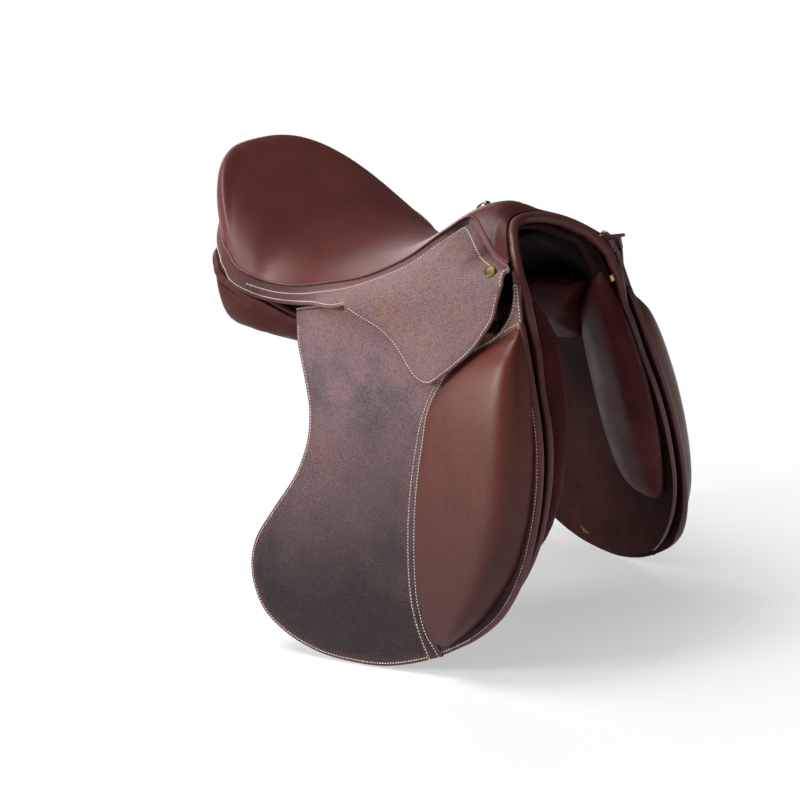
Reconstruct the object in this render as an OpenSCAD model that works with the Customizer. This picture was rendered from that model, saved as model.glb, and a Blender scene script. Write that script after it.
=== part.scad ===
// Jumping saddle with an 18 in seat, close-contact flaps and front knee blocks.
// Millimetres. +X forward (pommel), +Y to the rider's left, +Z up. z = 0 where the panels
// bear on the horse's back, x = 0 near the lowest point of the seat, y = 0 on the centre line.
// The right side is drawn and mirrored. Flat side pieces lie in a side plane whose own axes
// are u (forward), v (up) and w (outward from the flap's outer face).

/* [Seat] */
// Rear of the cantle behind the frame's origin
cantle_back = 246; // [225:1:270]
// Height of the cantle's top
cantle_h = 190; // [172:1:206]
// Height of the seam behind the cantle
cantle_seam_h = 132; // [120:1:145]
// Height of the lowest point of the seat
dip_h = 79; // [72:1:88]
// Height of the pommel's top
pommel_h = 131.5; // [122:0.5:142]
// Distance of the pommel's top ahead of the origin
pommel_x = 148; // [140:1:158]
// Half width over the side seams at the widest part of the seat
seat_half_w = 131.5; // [122:0.5:141]
// Half width over the side seams at the waist of the seat
waist_half_w = 116; // [108:1:120]
// Height of the side seam at the middle of the seat
seam_h = 61; // [56:1:68]
// Half width over the side seams at the pommel
twist_half_w = 32.5; // [29:0.5:38]
// Front edge of the pommel on the centre line
head_x = 175; // [168:1:184]
// Half width of the pommel where the side seam meets the front edge
head_half_w = 64.5; // [58:0.5:70]
// Thickness of the seat leather
cover_t = 2.2; // [1.6:0.1:3]
// Thickness of the seat foam
foam_t = 16; // [10:0.5:18]
// Thickness of the seat webs
web_t = 1.4; // [1:0.1:2]
// Radius of the seam cord
welt_r = 2.2; // [1.5:0.1:3]

/* [Tree] */
// Thickness of the laminated tree
tree_t = 8.5; // [6:0.5:10]
// Thickness of the springs along the rails
spring_t = 1.5; // [1:0.1:2]
// Thickness of the steel gullet plate
plate_t = 3; // [2:0.5:4]
// Thickness of the tree points
point_t = 6; // [4:0.5:6]
// Length of the tree points
point_len = 108; // [90:1:120]
// Radius of the front roll round the arch
roll_r = 5.5; // [4:0.5:7]

/* [Side planes] */
// Half width at the origin over the flaps' outer faces
side_y = 140.4; // [136:0.1:150]
// Angle by which the flaps close towards the front
toe = 13.3; // [11:0.1:14.5]
// Angle by which the flaps spread towards the bottom
splay = 10.9; // [9:0.1:13]
// Thickness of the flaps
flap_t = 4; // [3:0.1:4.5]
// Room between flap and skirt for the stirrup leather
skirt_room = 10; // [9.8:0.1:13]
// Thickness of the skirts
skirt_t = 3; // [2:0.1:4]
// Height of the fold line at its rear end
fold_v = 46; // [44:0.5:49]
// Tilt of the fold line
fold_tilt = 6.9; // [6:0.1:8]
// Room between flap and sweat flap for the girth straps
strap_room = 11; // [10.8:0.1:14]
// Thickness of the sweat flaps
sweat_t = 3; // [2:0.1:4]
// Thickness of the panel's front roll
front_roll_t = 27; // [20:1:30]
// Half width of the channel between the panels
gullet_half_w = 35; // [30:1:40]

/* [Knee blocks] */
// Height of the knee block above the flap
block_h = 28; // [18:1:34]

/* [Girth straps] */
// Width of a girth strap
strap_w = 25; // [22:0.5:27]
// Thickness of a girth strap
strap_t = 4; // [3:0.1:4]
// Spacing of the girth straps
strap_pitch = 35; // [33:1:38]
// Length of a girth strap
strap_len = 350; // [320:1:360]
// Diameter of the holes in the girth straps
hole_d = 5; // [4:0.1:6]
// Number of holes in a girth strap
hole_n = 10; // [6:1:12]
// Spacing of the holes
hole_pitch = 22; // [18:1:25]
// Length of the buckle guard
guard_len = 60; // [45:1:75]

/* [Stirrup bars] */
// Diameter of the stirrup bar
bar_d = 6.4; // [5:0.1:6.6]
// Length of the stirrup bar
bar_len = 84; // [70:1:90]
// Length of the safety catch
catch_len = 26; // [20:1:30]
// Diameter of the catch pin
pin_d = 4; // [3:0.1:5]

/* [Fittings] */
// Diameter of the saddle studs
stud_d = 12; // [9:0.5:14]
// Height of the saddle studs
stud_h = 2.6; // [2:0.1:4]
// Thickness of the small plate on the pommel
badge_t = 1.8; // [1:0.1:2.5]

/* [Fits] */
// Gap between layers that lie on each other
lay = 0.35; // [0.3:0.05:0.5]
// Gap on either side of the seam cord
seam_gap = 1; // [0.8:0.1:1.5]
// Running clearance of the catch on its pin, on the radius
run = 0.1; // [0.05:0.01:0.2]

/* [Hidden] */
$fn = 32;

// Small tools
function unit(a) = a / norm(a);
function lerp(a, b, t) = a + (b - a) * t;
function ease(t) = let (c = max(0, min(1, t))) c * c * (3 - 2 * c);
function cr(a, b, c, d, t) = b + 0.5 * t * (c - a + t * (2 * a - 5 * b + 4 * c - d
    + t * (3 * (b - c) + d - a)));
function pick(p, i) = p[max(0, min(len(p) - 1, i))];
function at(p, s) = let (i = max(0, min(len(p) - 2, floor(s))))
    cr(pick(p, i - 1), p[i], p[i + 1], pick(p, i + 2), s - i);
function curve(p, n) = [for (i = [0 : (len(p) - 1) * n]) at(p, i / n)];
function look(t, x, k = 1) = x <= t[0][0] ? t[0][k]
    : x >= t[len(t) - 1][0] ? t[len(t) - 1][k]
    : let (i = max([for (j = [0 : len(t) - 2]) if (t[j][0] <= x) j]))
        lerp(t[i][k], t[i + 1][k], (x - t[i][0]) / (t[i + 1][0] - t[i][0]));
function between(g, a, b) = concat([a], [for (x = g) if (x > a + 0.02 && x < b - 0.02) x], [b]);

module skin(rings) {
    n = len(rings);
    m = len(rings[0]);
    polyhedron(points = [for (r = rings) each r], faces = concat(
        [for (i = [0 : n - 2], j = [0 : m - 1]) each let (k = (j + 1) % m)
            [[i * m + j, i * m + k, (i + 1) * m + k], [i * m + j, (i + 1) * m + k, (i + 1) * m + j]]],
        [for (j = [1 : m - 2]) [0, j + 1, j]],
        [for (j = [1 : m - 2]) [(n - 1) * m, (n - 1) * m + j, (n - 1) * m + j + 1]]));
}
module sheet(top, low) {
    n = len(top);
    m = len(top[0]);
    q = n * m;
    polyhedron(points = concat([for (r = top) each r], [for (r = low) each r]), faces = concat(
        [for (i = [0 : n - 2], j = [0 : m - 2]) each let (a = i * m + j, b = a + 1, c = b + m, d = a + m)
            [[a, b, c], [a, c, d], [a + q, c + q, b + q], [a + q, d + q, c + q]]],
        [for (i = [0 : n - 2]) each let (a = i * m, d = a + m, b = a + m - 1, c = b + m)
            [[a, d, d + q], [a, d + q, a + q], [b, c + q, c], [b, b + q, c + q]]],
        [for (j = [0 : m - 2]) each let (a = j, b = j + 1, c = (n - 1) * m + j, d = c + 1)
            [[a, a + q, b + q], [a, b + q, b], [c, d + q, c + q], [c, d, d + q]]]));
}
module tube(path, hint, r, sides) {
    skin([for (i = [0 : len(path) - 1])
        let (t = unit(pick(path, i + 1) - pick(path, i - 1)),
            a = unit(hint[i] - (hint[i] * t) * t), b = cross(t, a))
        [for (k = [0 : sides - 1]) path[i] + r * (a * cos(360 * k / sides) - b * sin(360 * k / sides))]]);
}

// Seat surface: rows run from the rear seam (0) over the cantle's crest (2) to the arch (14).
// Each row holds centre x, centre z, seam x, seam half width, seam z, crown power, bow power.
corner_x = cantle_back - 94;
ROWS = [
    [-cantle_back, cantle_seam_h, -corner_x, seat_half_w - 9, seam_h + 38, 2, 2.4],
    [-cantle_back - 1, lerp(cantle_seam_h, cantle_h, 0.72), 5 - corner_x, seat_half_w - 6.5, seam_h + 35,
        2.4, 2.4],
    [13 - cantle_back, cantle_h, 14 - corner_x, seat_half_w - 4, seam_h + 29, 2.9, 2.35],
    [40 - cantle_back, lerp(dip_h, cantle_h, 0.797), 28 - corner_x, seat_half_w, seam_h + 19, 3, 2.3],
    [83 - cantle_back, lerp(dip_h, cantle_h, 0.473), 46.5 - corner_x, seat_half_w - 3, seam_h + 10, 3.1, 2.1],
    [131 - cantle_back, lerp(dip_h, cantle_h, 0.171), 68 - corner_x,
        lerp(seat_half_w, waist_half_w, 0.68), seam_h + 2.3, 3, 2],
    [-56, lerp(dip_h, cantle_h, 0.0225), -48, waist_half_w, seam_h, 2.7, 2],
    [3, dip_h, -4, waist_half_w - 6, seam_h + 4.5, 2.3, 2],
    [50, lerp(dip_h, pommel_h, 0.23), 47, lerp(waist_half_w, twist_half_w, 0.212), seam_h + 12.7, 2, 2],
    [95, lerp(dip_h, pommel_h, 0.594), 94.5, lerp(waist_half_w, twist_half_w, 0.402), pommel_h - 39.8, 1.79, 2],
    [pommel_x - 21.7, pommel_h - 4.4, pommel_x - 23.4, twist_half_w + 24.8, pommel_h - 17.8, 1.67, 2],
    [pommel_x, pommel_h, pommel_x - 6, twist_half_w, pommel_h - 6.7, 1.96, 2],
    [lerp(pommel_x, head_x, 0.43), pommel_h - 1, pommel_x + 24,
        lerp(twist_half_w, head_half_w, 0.356), pommel_h - 24, 2.23, 1.9],
    [lerp(pommel_x, head_x, 0.77), pommel_h - 5.2, pommel_x + 40.3,
        lerp(twist_half_w, head_half_w, 0.545), pommel_h - 36.5, 2.6, 1.75],
    [head_x, pommel_h - 9.7, pommel_x + 71.4, head_half_w, pommel_h - 41.3, 2.49, 1.67]];
LAST = len(ROWS) - 1;
US = [0, 0.5, 1, 1.5, 2, 2.5, 3, 3.5, 4, 5, 6, 7, 8, 9, 9.4, 9.7, 10, 10.3, 10.6, 10.8, 11, 11.2, 11.5, 12,
    13, 14];
VS = [-1, -0.95, -0.88, -0.78, -0.64, -0.45, -0.24, 0, 0.24, 0.45, 0.64, 0.78, 0.88, 0.95, 1];
function seat(s, v) = let (r = at(ROWS, s), a = abs(v))
    [r[0] + (r[2] - r[0]) * pow(a, r[6]), v * r[3], r[4] + (r[1] - r[4]) * (1 - pow(a, r[5]))];
function seat_n(s, v) = let (p = max(0.6, min(LAST - 0.01, s)), q = max(-0.93, min(0.93, v)))
    unit(cross(seat(p + 0.01, q) - seat(p - 0.01, q), seat(p, q + 0.01) - seat(p, q - 0.01)));
function seat_d(s, v, d) = seat(s, v) - d * seat_n(s, v);
module band(s, v, d, t)
    sheet([for (a = s) [for (b = v) seat_d(a, b, d)]], [for (a = s) [for (b = v) seat_d(a, b, d + t)]]);

foam_d = cover_t + lay;
web_d = foam_d + foam_t + lay;
tree_d = web_d + web_t + lay;
under_d = tree_d + tree_t + lay;
lining_d = under_d + plate_t + lay;

// Side plane of the right side
EU = [cos(toe), sin(toe), 0];
EV = [-sin(splay) * sin(toe), sin(splay) * cos(toe), cos(splay)];
EW = cross(EU, EV);
function side(u, v, w) = [0, -side_y, 0] + u * EU + v * EV + w * EW;
module on_side(w, t) translate([0, -side_y, 0]) rotate([0, 0, toe]) rotate([-splay, 0, 0])
    rotate([90, 0, 0]) translate([0, 0, w]) linear_extrude(t) children();
module left() mirror([0, 1, 0]) children();

// Layers outward from the flap's outer face
skirt_w = skirt_room + skirt_t;
sweat_w = -flap_t - strap_room;
roll_w = sweat_w - sweat_t - lay;
point_w = sweat_w + lay + point_t;
fold_k = tan(fold_tilt);
function fold(u) = fold_v + fold_k * (u - 28);
fold_u0 = 48;

// Outlines in the side plane
FLAP_FRONT = [[247, 52], [249, 34], [254, 10], [261, -27], [267, -65], [269, -103], [264, -151], [250, -203],
    [227, -245], [198, -273], [163, -293], [126, -308], [82, -318], [39, -319], [0, -315], [-40, -302],
    [-73, -280], [-88, -253], [-91, -226], [-82, -198], [-56, -164], [-29, -130], [-13, -95], [-9, -61],
    [-15, -26], [-22, 5], [-23, 24]];
SKIRT_EDGE = [[229, 53], [225, 39], [216, 26], [202, 9], [182, -7], [164, -19], [149, -27], [134, -24],
    [122, -13], [107, 6], [87, 24], [64, 36.5]];
SWEAT_EDGE = [[247, 34], [256, 14], [264, -29], [271, -67], [272, -105], [267, -144], [258, -179], [240, -215],
    [212, -250], [176, -279], [120, -296], [60, -290], [20, -262], [2, -200], [4, -120], [12, -40], [12, 30]];
corner_u = 235;

// Skirt surface: p runs from the rear centre (-1) round the cantle (0) to the arch (14) and
// its front corner (15), t from the seam (0) to the fold or the free edge (1).
function outw(p) = p[0] < -110 ? concat(unit([p[0] + 110, p[1]]), 0) : [0, -1, 0];
function rim(p) = p < 0 ? seat(0, -(1 + p)) : seat(min(p, LAST), -1);
function rim_t(p) = unit(rim(min(LAST, p + 0.25)) - rim(p <= -0.75 ? -1 : p - 0.25));
function seam_dir(p) = let (d = 0.5 * outw(rim(p)) - [0, 0, 0.87], t = rim_t(p)) unit(d - (d * t) * t);
// The seam opens a little where the rim turns at the pommel.
function gap_at(p) = seam_gap + 0.8 * ease((p - 8.4) / 0.7) * ease((11.8 - p) / 0.7);
function skirt_top(p) = p <= LAST ? rim(p) + 2 * (welt_r + gap_at(p)) * seam_dir(p)
    : lerp(skirt_top(LAST), side(corner_u + 9, fold(corner_u) + 15, skirt_w), p - LAST);
function fold_at(x) = let (u = (x - (fold_v - fold_k * 28) * EV[0] - skirt_w * EW[0])
    / (EU[0] + fold_k * EV[0])) side(u, fold(u), skirt_w);
function skirt_low(p) = let (e = skirt_top(p))
    p > LAST ? lerp(skirt_low(LAST), side(corner_u, fold(corner_u), skirt_w), p - LAST)
    : e[0] >= fold_u0 * EU[0] ? fold_at(e[0])
    : e + (4 + 3 * ease((e[0] + 170) / 60) + 22 * ease((e[0] + 60) / 105)) * outw(e)
        - [0, 0, 13 + 5 * ease((e[0] + 10) / 45)];
function skirt(p, t) = let (e = skirt_top(p), l = skirt_low(p),
    k = l + (0.6 + 0.5 * ease((p - 11) / 3)) * (e[2] - l[2]) * EV)
    (1 - t) * (1 - t) * e + 2 * t * (1 - t) * k + t * t * l;
function skirt_n(p, t) = unit(cross(skirt(p, t + 0.02) - skirt(p, t - 0.02),
    skirt(min(15, p + 0.02), t) - skirt(p - 0.02, t)));
fold_p = max([for (p = [5 : 0.02 : 9]) if (skirt_top(p)[0] < fold_u0 * EU[0]) p]);
REAR = [for (v = VS) if (v > 0.1 && v < 1) -1 + v];
SP = concat([-0.99], REAR, [for (s = US) if (s < fold_p) s], [fold_p, fold_p + 0.04],
    [for (s = US) if (s > fold_p + 0.04) s], [LAST + 1]);
ST = [0, 0.2, 0.4, 0.6, 0.8, 1];

// Tree and seat
module tree_head() color("BurlyWood") {
    band(between(US, 10, 11), [for (v = VS) if (abs(v) < 0.8) v], tree_d, tree_t);
    for (m = [0, 1]) mirror([0, m, 0]) hull() {
        for (r = [10.3, 10.9], d = [1, tree_t - 1])
            translate(seat_d(r, -0.7, tree_d + d)) cube(1, center = true);
        for (u = [166, 212], w = [point_w - 0.5, point_w - point_t + 0.5])
            translate(side(u, 66.8, w)) cube(1, center = true);
    }
}
module tree_cantle() color("BurlyWood")
    band(between(US, 3, 4), [for (v = VS) if (abs(v) < 0.9) v], tree_d, tree_t);
module rail(v) color("BurlyWood") band(between(US, 4.03, 9.97), v, tree_d, tree_t);
module tree_rail_right() rail([-0.78, -0.64, -0.45]);
module tree_rail_left() rail([0.45, 0.64, 0.78]);
module spring(v) color("Silver") band(between(US, 3.5, 10.2), v, under_d, spring_t);
module tree_spring_right() spring([-0.64, -0.45]);
module tree_spring_left() spring([0.45, 0.64]);
module gullet_plate() color("Silver")
    band([10.24, 10.5, 10.8], [for (v = VS) if (abs(v) < 0.5) v], under_d, plate_t);
module gullet_lining() color("SaddleBrown")
    band([10.24, 10.45, 10.65], [for (v = VS) if (abs(v) < 0.5) v], lining_d, 1.2);
module seat_webs() color("Wheat") for (v = [[-0.45, -0.24], [0.24, 0.45]])
    band(between(US, 3, 11), v, web_d, web_t);
module seat_foam() color("Khaki")
    band(between(US, 2.5, 12), [for (v = VS) if (abs(v) < 0.9) v], foam_d, foam_t);
module seat_cover() color("SaddleBrown") band(US, VS, 0, cover_t);
module seat_welt() color("SaddleBrown") {
    ps = concat([-0.985], REAR, US);
    right = [for (p = ps) rim(p) + (welt_r + gap_at(p)) * seam_dir(p)];
    n = len(ps);
    path = concat([for (i = [n - 1 : -1 : 0]) [right[i][0], -right[i][1], right[i][2]]], right);
    hint = concat([for (i = [n - 1 : -1 : 0]) let (d = seam_dir(ps[i])) [d[0], -d[1], d[2]]],
        [for (p = ps) seam_dir(p)]);
    tube(path, hint, welt_r, 6);
}

// Front roll round the arch, from one panel's front over the pommel to the other
function arch_edge(v) = seat(LAST, -v);
function arch_off(v) = let (t = unit(arch_edge(min(1, v + 0.05)) - arch_edge(max(-1, v - 0.05))),
    d = [0.6, -0.014 * arch_edge(v)[1], -0.8], e = unit(d - (d * t) * t))
    (roll_r + 5 * lay + 1.6 * ease((v - 0.5) / 0.3)) * e;
function arch_low(i) = side([241, 246, 250][i], [77, 63, 47][i], -flap_t - roll_r - 2 * lay);
function arch_half() = concat([for (v = [0, 0.2, 0.4, 0.6, 0.78, 0.92]) arch_edge(v) + arch_off(v)],
    [for (i = [0 : 2]) arch_low(i)]);
module arch_roll() color("SaddleBrown") {
    h = curve(arch_half(), 2);
    n = len(h);
    path = concat([for (i = [n - 1 : -1 : 1]) [h[i][0], -h[i][1], h[i][2]]], h);
    tube(path, [for (p = path) [0.9, 0.1 * sign(p[1]), 0.4]], roll_r, 8);
}

// Skirts
module skirt_right() color("Sienna") {
    sheet([for (p = SP) [for (t = ST) skirt(p, t) - skirt_t * skirt_n(p, t)]],
        [for (p = SP) [for (t = ST) skirt(p, t)]]);
}
module skirt_left() left() skirt_right();
module skirt_flap_right() color("Sienna") on_side(skirt_room, skirt_t)
    polygon(concat([[fold_u0 + lay, fold(fold_u0) - lay], [corner_u, fold(corner_u) - lay]],
        curve(SKIRT_EDGE, 3), [[fold_u0 + lay, 41]]));
module skirt_flap_left() left() skirt_flap_right();

// Studs and pommel plate
stud_p = 13.72;
stud_t = 0.44;
module saddle_studs() color("Peru") for (m = [0, 1]) mirror([0, m, 0]) {
    c = skirt(stud_p, stud_t);
    n = skirt_n(stud_p, stud_t);
    translate(c + n * 1.4 * lay) rotate([0, acos(n[2]), atan2(n[1], n[0])]) rotate_extrude()
        polygon(concat([[0, 0]], [for (a = [0 : 15 : 90])
            [stud_d / 2 - stud_h + stud_h * cos(a), stud_h * sin(a)]], [[0, stud_h]]));
}
module pommel_plate() color("Peru") band([9.75, 10, 10.25], [-0.08, 0, 0.08], -badge_t - lay, badge_t);

// Tree points, stirrup bars and safety catches
POINT = [[212, 66 - lay], [212, 20], [206, 66 - point_len], [190, 58 - point_len], [174, 66 - point_len],
    [166, 20], [166, 66 - lay]];
rivet_d = 5;
RIVETS = [[176, 32], [202, 32], [176, 52], [202, 52]];
plate_w = point_w + lay;
bar_plate_t = 2.5;
bar_w = skirt_room - 0.8 - bar_d / 2;
bar_v = 41;
bar_front = 222;
bar_rear = bar_front - bar_len;
tang_t = 2.5;
module tree_point_right() color("BurlyWood") on_side(point_w - point_t, point_t) difference() {
    polygon(POINT);
    for (r = RIVETS) translate(r) circle(d = rivet_d + 2 * lay);
}
module tree_point_left() left() tree_point_right();
module stirrup_bar_right() color("Goldenrod") {
    on_side(plate_w, bar_plate_t) difference() {
        translate([166, 24]) square([52, 35]);
        for (r = RIVETS) translate(r) circle(d = rivet_d + 2 * run);
    }
    on_side(plate_w, bar_w + bar_d / 2 - plate_w)
        translate([210, bar_v - bar_d / 2]) square([bar_front - 210, bar_d]);
    translate(side(bar_front - 6, bar_v, bar_w)) rotate([0, 0, toe]) rotate([0, -90, 0])
        cylinder(d = bar_d, h = bar_len - 18);
    on_side(bar_w - tang_t / 2 - 1, tang_t) hull() {
        translate([bar_rear, bar_v]) circle(d = 9);
        translate([bar_rear + 18, bar_v]) circle(d = bar_d - 0.4);
    }
    on_side(bar_w - tang_t / 2 - 1, tang_t + lay + 2.4) translate([bar_rear, bar_v]) circle(d = pin_d);
}
module stirrup_bar_left() left() stirrup_bar_right();
module bar_rivets() color("Silver") for (m = [0, 1]) mirror([0, m, 0]) for (r = RIVETS) {
    on_side(point_w - point_t + 0.2, point_t + lay + bar_plate_t) translate(r) circle(d = rivet_d);
    on_side(plate_w + bar_plate_t + run, 1.4) translate(r) circle(d = 8);
}
module safety_catch_right() color("Goldenrod") on_side(bar_w + tang_t / 2 - 1 + lay, 2) difference() {
    union() {
        translate([bar_rear, bar_v]) circle(d = 10);
        translate([bar_rear - catch_len + 4, bar_v - 4]) square([catch_len - 4, 8]);
        translate([bar_rear - catch_len + 4, bar_v]) circle(d = 8);
    }
    translate([bar_rear, bar_v]) circle(d = pin_d + 2 * run);
}
module safety_catch_left() left() safety_catch_right();

// Flaps
module flap_right() color("Sienna") on_side(-flap_t, flap_t) difference() {
    polygon(concat([[-23, fold(-23) - lay], [246, fold(246) - lay]], curve(FLAP_FRONT, 2)));
    translate([bar_rear - catch_len - 8, bar_v - 26]) square([232 - bar_rear + catch_len + 8, 80]);
}
module flap_left() left() flap_right();
module flap_head_right() color("Sienna") on_side(-flap_t, flap_t)
    polygon([[-23, fold(-23)], [-23, fold(-23) + 3], [25, fold(25) + 4], [60, fold(60) + 8],
        [222, fold(222) + 8], [234, fold(234) + 6],
        [241, fold(241) + 4], [246, fold(246)]]);
module flap_head_left() left() flap_head_right();

// Knee blocks: rear edge, front edge and share of the height at each level
BLOCK = [[31, 243, 248.5, 0.06], [22, 229, 250, 0.2], [14, 211, 252, 0.4], [2, 189, 255, 0.64],
    [-14, 168, 258, 0.8],
    [-32, 154, 260, 0.9], [-56, 141, 262, 0.97], [-85, 135, 263, 1], [-124, 128, 261, 1],
    [-164, 124, 254, 0.98],
    [-204, 123, 240, 0.94], [-240, 125, 217, 0.84], [-262, 130, 197, 0.68], [-277, 136, 178, 0.46],
    [-286, 142, 165, 0.22]];
PROFILE = [[0, 0.05], [0.06, 0.17], [0.22, 0.4], [0.42, 0.65], [0.6, 0.86], [0.75, 1], [0.86, 0.95],
    [0.94, 0.66], [0.985, 0.28], [1, 0.05]];
module knee_block_right() color("SaddleBrown") skin([for (b = BLOCK) concat(
    [for (p = PROFILE) side(lerp(b[1], b[2], p[0]), b[0], lay + p[1] * block_h * b[3])],
    [side(b[2], b[0], lay), side(b[1], b[0], lay)])]);
module knee_block_left() left() knee_block_right();

// Sweat flaps, point pockets and front rolls
module sweat_flap_right() color("Sienna") on_side(sweat_w - sweat_t, sweat_t)
    polygon(concat([[12, 44], [228, 40]], curve(SWEAT_EDGE, 3)));
module sweat_flap_left() left() sweat_flap_right();
pocket_t = 1.5;
module point_pocket_right() color("Sienna") difference() {
    on_side(sweat_w + lay, point_t + lay + pocket_t) polygon([[157, -8], [221, -8], [214, 62 - point_len],
        [192, 50 - point_len], [168, 62 - point_len]]);
    on_side(sweat_w - 1, point_t + 2 * lay + 1) polygon([[165, 0], [213, 0], [207.5, 65 - point_len],
        [190.5, 56.5 - point_len], [172.5, 65 - point_len]]);
}
module point_pocket_left() left() point_pocket_right();
FRONT = [[60, 231, 244, 0.25], [50, 223, 251, 0.55], [38, 208, 258, 0.75], [20, 194, 266, 0.92],
    [-4, 183, 273, 1], [-40, 175, 278, 1],
    [-70, 172, 278, 1], [-108, 170, 275, 1], [-148, 172, 266, 0.95], [-176, 179, 255, 0.8],
    [-190, 188, 245, 0.5],
    [-197, 198, 234, 0.25]];
ROUND = [[0, 0.02], [0.25, 0], [0.5, 0], [0.8, 0], [0.93, 0.06], [0.985, 0.26], [1, 0.5], [0.985, 0.76],
    [0.93, 0.94], [0.8, 1], [0.5, 0.96], [0.25, 0.72], [0.08, 0.4]];
module front_roll_right() color("SaddleBrown") skin([for (f = FRONT)
    [for (i = [len(ROUND) - 1 : -1 : 0]) let (r = ROUND[i])
        side(lerp(f[1], f[2], r[0]), f[0], roll_w - r[1] * front_roll_t * f[3])]]);
module front_roll_left() left() front_roll_right();

// Panels: x, outer half width (0 takes the sweat flap's inner face), tops and bottoms inside and outside
PANEL = [[-220, 86, 84, 80, 70, 68], [-213, 101, 93, 84, 56, 56], [-200, 114, 94, 80, 42, 44],
    [-182, 125, 86, 74, 25, 30],
    [-155, 135, 74, 66, 10, 16], [-115, 138, 57, 51, 2, 8], [-76, 131, 46, 33, -1, 1],
    [-42, 126, 42, 22, -2, -4],
    [0, 0, 38, 20, -2, -10], [40, 0, 38, 24, 0, -24], [85, 0, 42, 32, 2, -34], [130, 0, 48, 40, 6, -38],
    [160, 0, 50, 42, 9, -32], [167, 0, 50, 43, 12, -20], [180, 0, 50, 44, 16, 4], [191, 0, 49, 45, 26, 26],
    [201, 0, 47, 45, 38, 39]];
EDGE = [[0, 0.15], [0.08, 0.03], [0.3, 0], [0.7, 0], [0.92, 0.04], [1, 0.25], [1, 0.6], [0.97, 0.86], [0.88, 1],
    [0.6, 1], [0.3, 1], [0.08, 0.94], [0, 0.75]];
function panel_y(x, yo, z) = yo > 0 ? yo
    : side_y - x * tan(toe) - (tan(splay) * z - (roll_w - lay) / cos(splay)) / cos(toe);
module panel_right() color("SaddleBrown") skin([for (p = PANEL) [for (e = EDGE)
    let (z = lerp(lerp(p[2], p[3], e[0]), lerp(p[4], p[5], e[0]), e[1]))
    [p[0], -lerp(gullet_half_w, panel_y(p[0], p[1], z), e[0]), z]]]);
module panel_left() left() panel_right();

// Girth straps, their web and the buckle guard
STRAPS = [70 + strap_pitch, 70, 70 - strap_pitch];
web_w = -flap_t - lay - 1.5;
strap_w0 = web_w - lay - strap_t;
strap_top = 52;
strap_low = strap_top - strap_len;
module girth_web_right() color("Wheat") on_side(web_w, 1.5) {
    translate([70 - strap_pitch - 9, 50]) square([2 * strap_pitch + 18, 7]);
    for (u = STRAPS) translate([u - 11, 30]) square([22, 21]);
}
module girth_web_left() left() girth_web_right();
module strap(u) color("Sienna") on_side(strap_w0, strap_t) difference() {
    union() {
        translate([u - strap_w / 2, strap_low + 18]) square([strap_w, strap_len - 18]);
        polygon([[u - strap_w / 2, strap_low + 18], [u - 6, strap_low], [u + 6, strap_low],
            [u + strap_w / 2, strap_low + 18]]);
    }
    for (i = [0 : hole_n - 1]) translate([u, strap_low + 26 + i * hole_pitch]) circle(d = hole_d);
}
module girth_strap_front_right() strap(STRAPS[0]);
module girth_strap_middle_right() strap(STRAPS[1]);
module girth_strap_rear_right() strap(STRAPS[2]);
module girth_strap_front_left() left() strap(STRAPS[0]);
module girth_strap_middle_left() left() strap(STRAPS[1]);
module girth_strap_rear_left() left() strap(STRAPS[2]);
guard_top = -20;
guard_wall = strap_w0 - lay - (sweat_w + lay);
module guard_frame(w, t) on_side(w, t) translate([70 - strap_pitch - strap_w / 2 - 5, guard_top - guard_len])
    square([2 * strap_pitch + strap_w + 10, guard_len]);
module buckle_guard_right() color("Sienna") difference() {
    guard_frame(sweat_w + lay, guard_wall + strap_t + 2 * lay + 1.5);
    on_side(strap_w0 - lay, strap_t + 2 * lay) for (u = STRAPS)
        translate([u - strap_w / 2 - lay, guard_top - guard_len - 1])
            square([strap_w + 2 * lay, guard_len + 2]);
}
module buckle_guard_left() left() buckle_guard_right();

tree_head();
tree_cantle();
tree_rail_left();
tree_rail_right();
tree_point_left();
tree_point_right();
tree_spring_left();
tree_spring_right();
gullet_plate();
gullet_lining();
seat_webs();
seat_foam();
seat_cover();
seat_welt();
arch_roll();
skirt_left();
skirt_right();
saddle_studs();
pommel_plate();
stirrup_bar_left();
stirrup_bar_right();
bar_rivets();
safety_catch_left();
safety_catch_right();
flap_head_left();
flap_head_right();
flap_left();
flap_right();
knee_block_left();
knee_block_right();
skirt_flap_left();
skirt_flap_right();
sweat_flap_left();
sweat_flap_right();
point_pocket_left();
point_pocket_right();
front_roll_left();
front_roll_right();
panel_left();
panel_right();
girth_web_left();
girth_web_right();
girth_strap_front_left();
girth_strap_middle_left();
girth_strap_rear_left();
girth_strap_front_right();
girth_strap_middle_right();
girth_strap_rear_right();
buckle_guard_left();
buckle_guard_right();
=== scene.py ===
import math

import bpy
import numpy as np
from mathutils import Matrix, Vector
from mathutils.geometry import delaunay_2d_cdt


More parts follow.
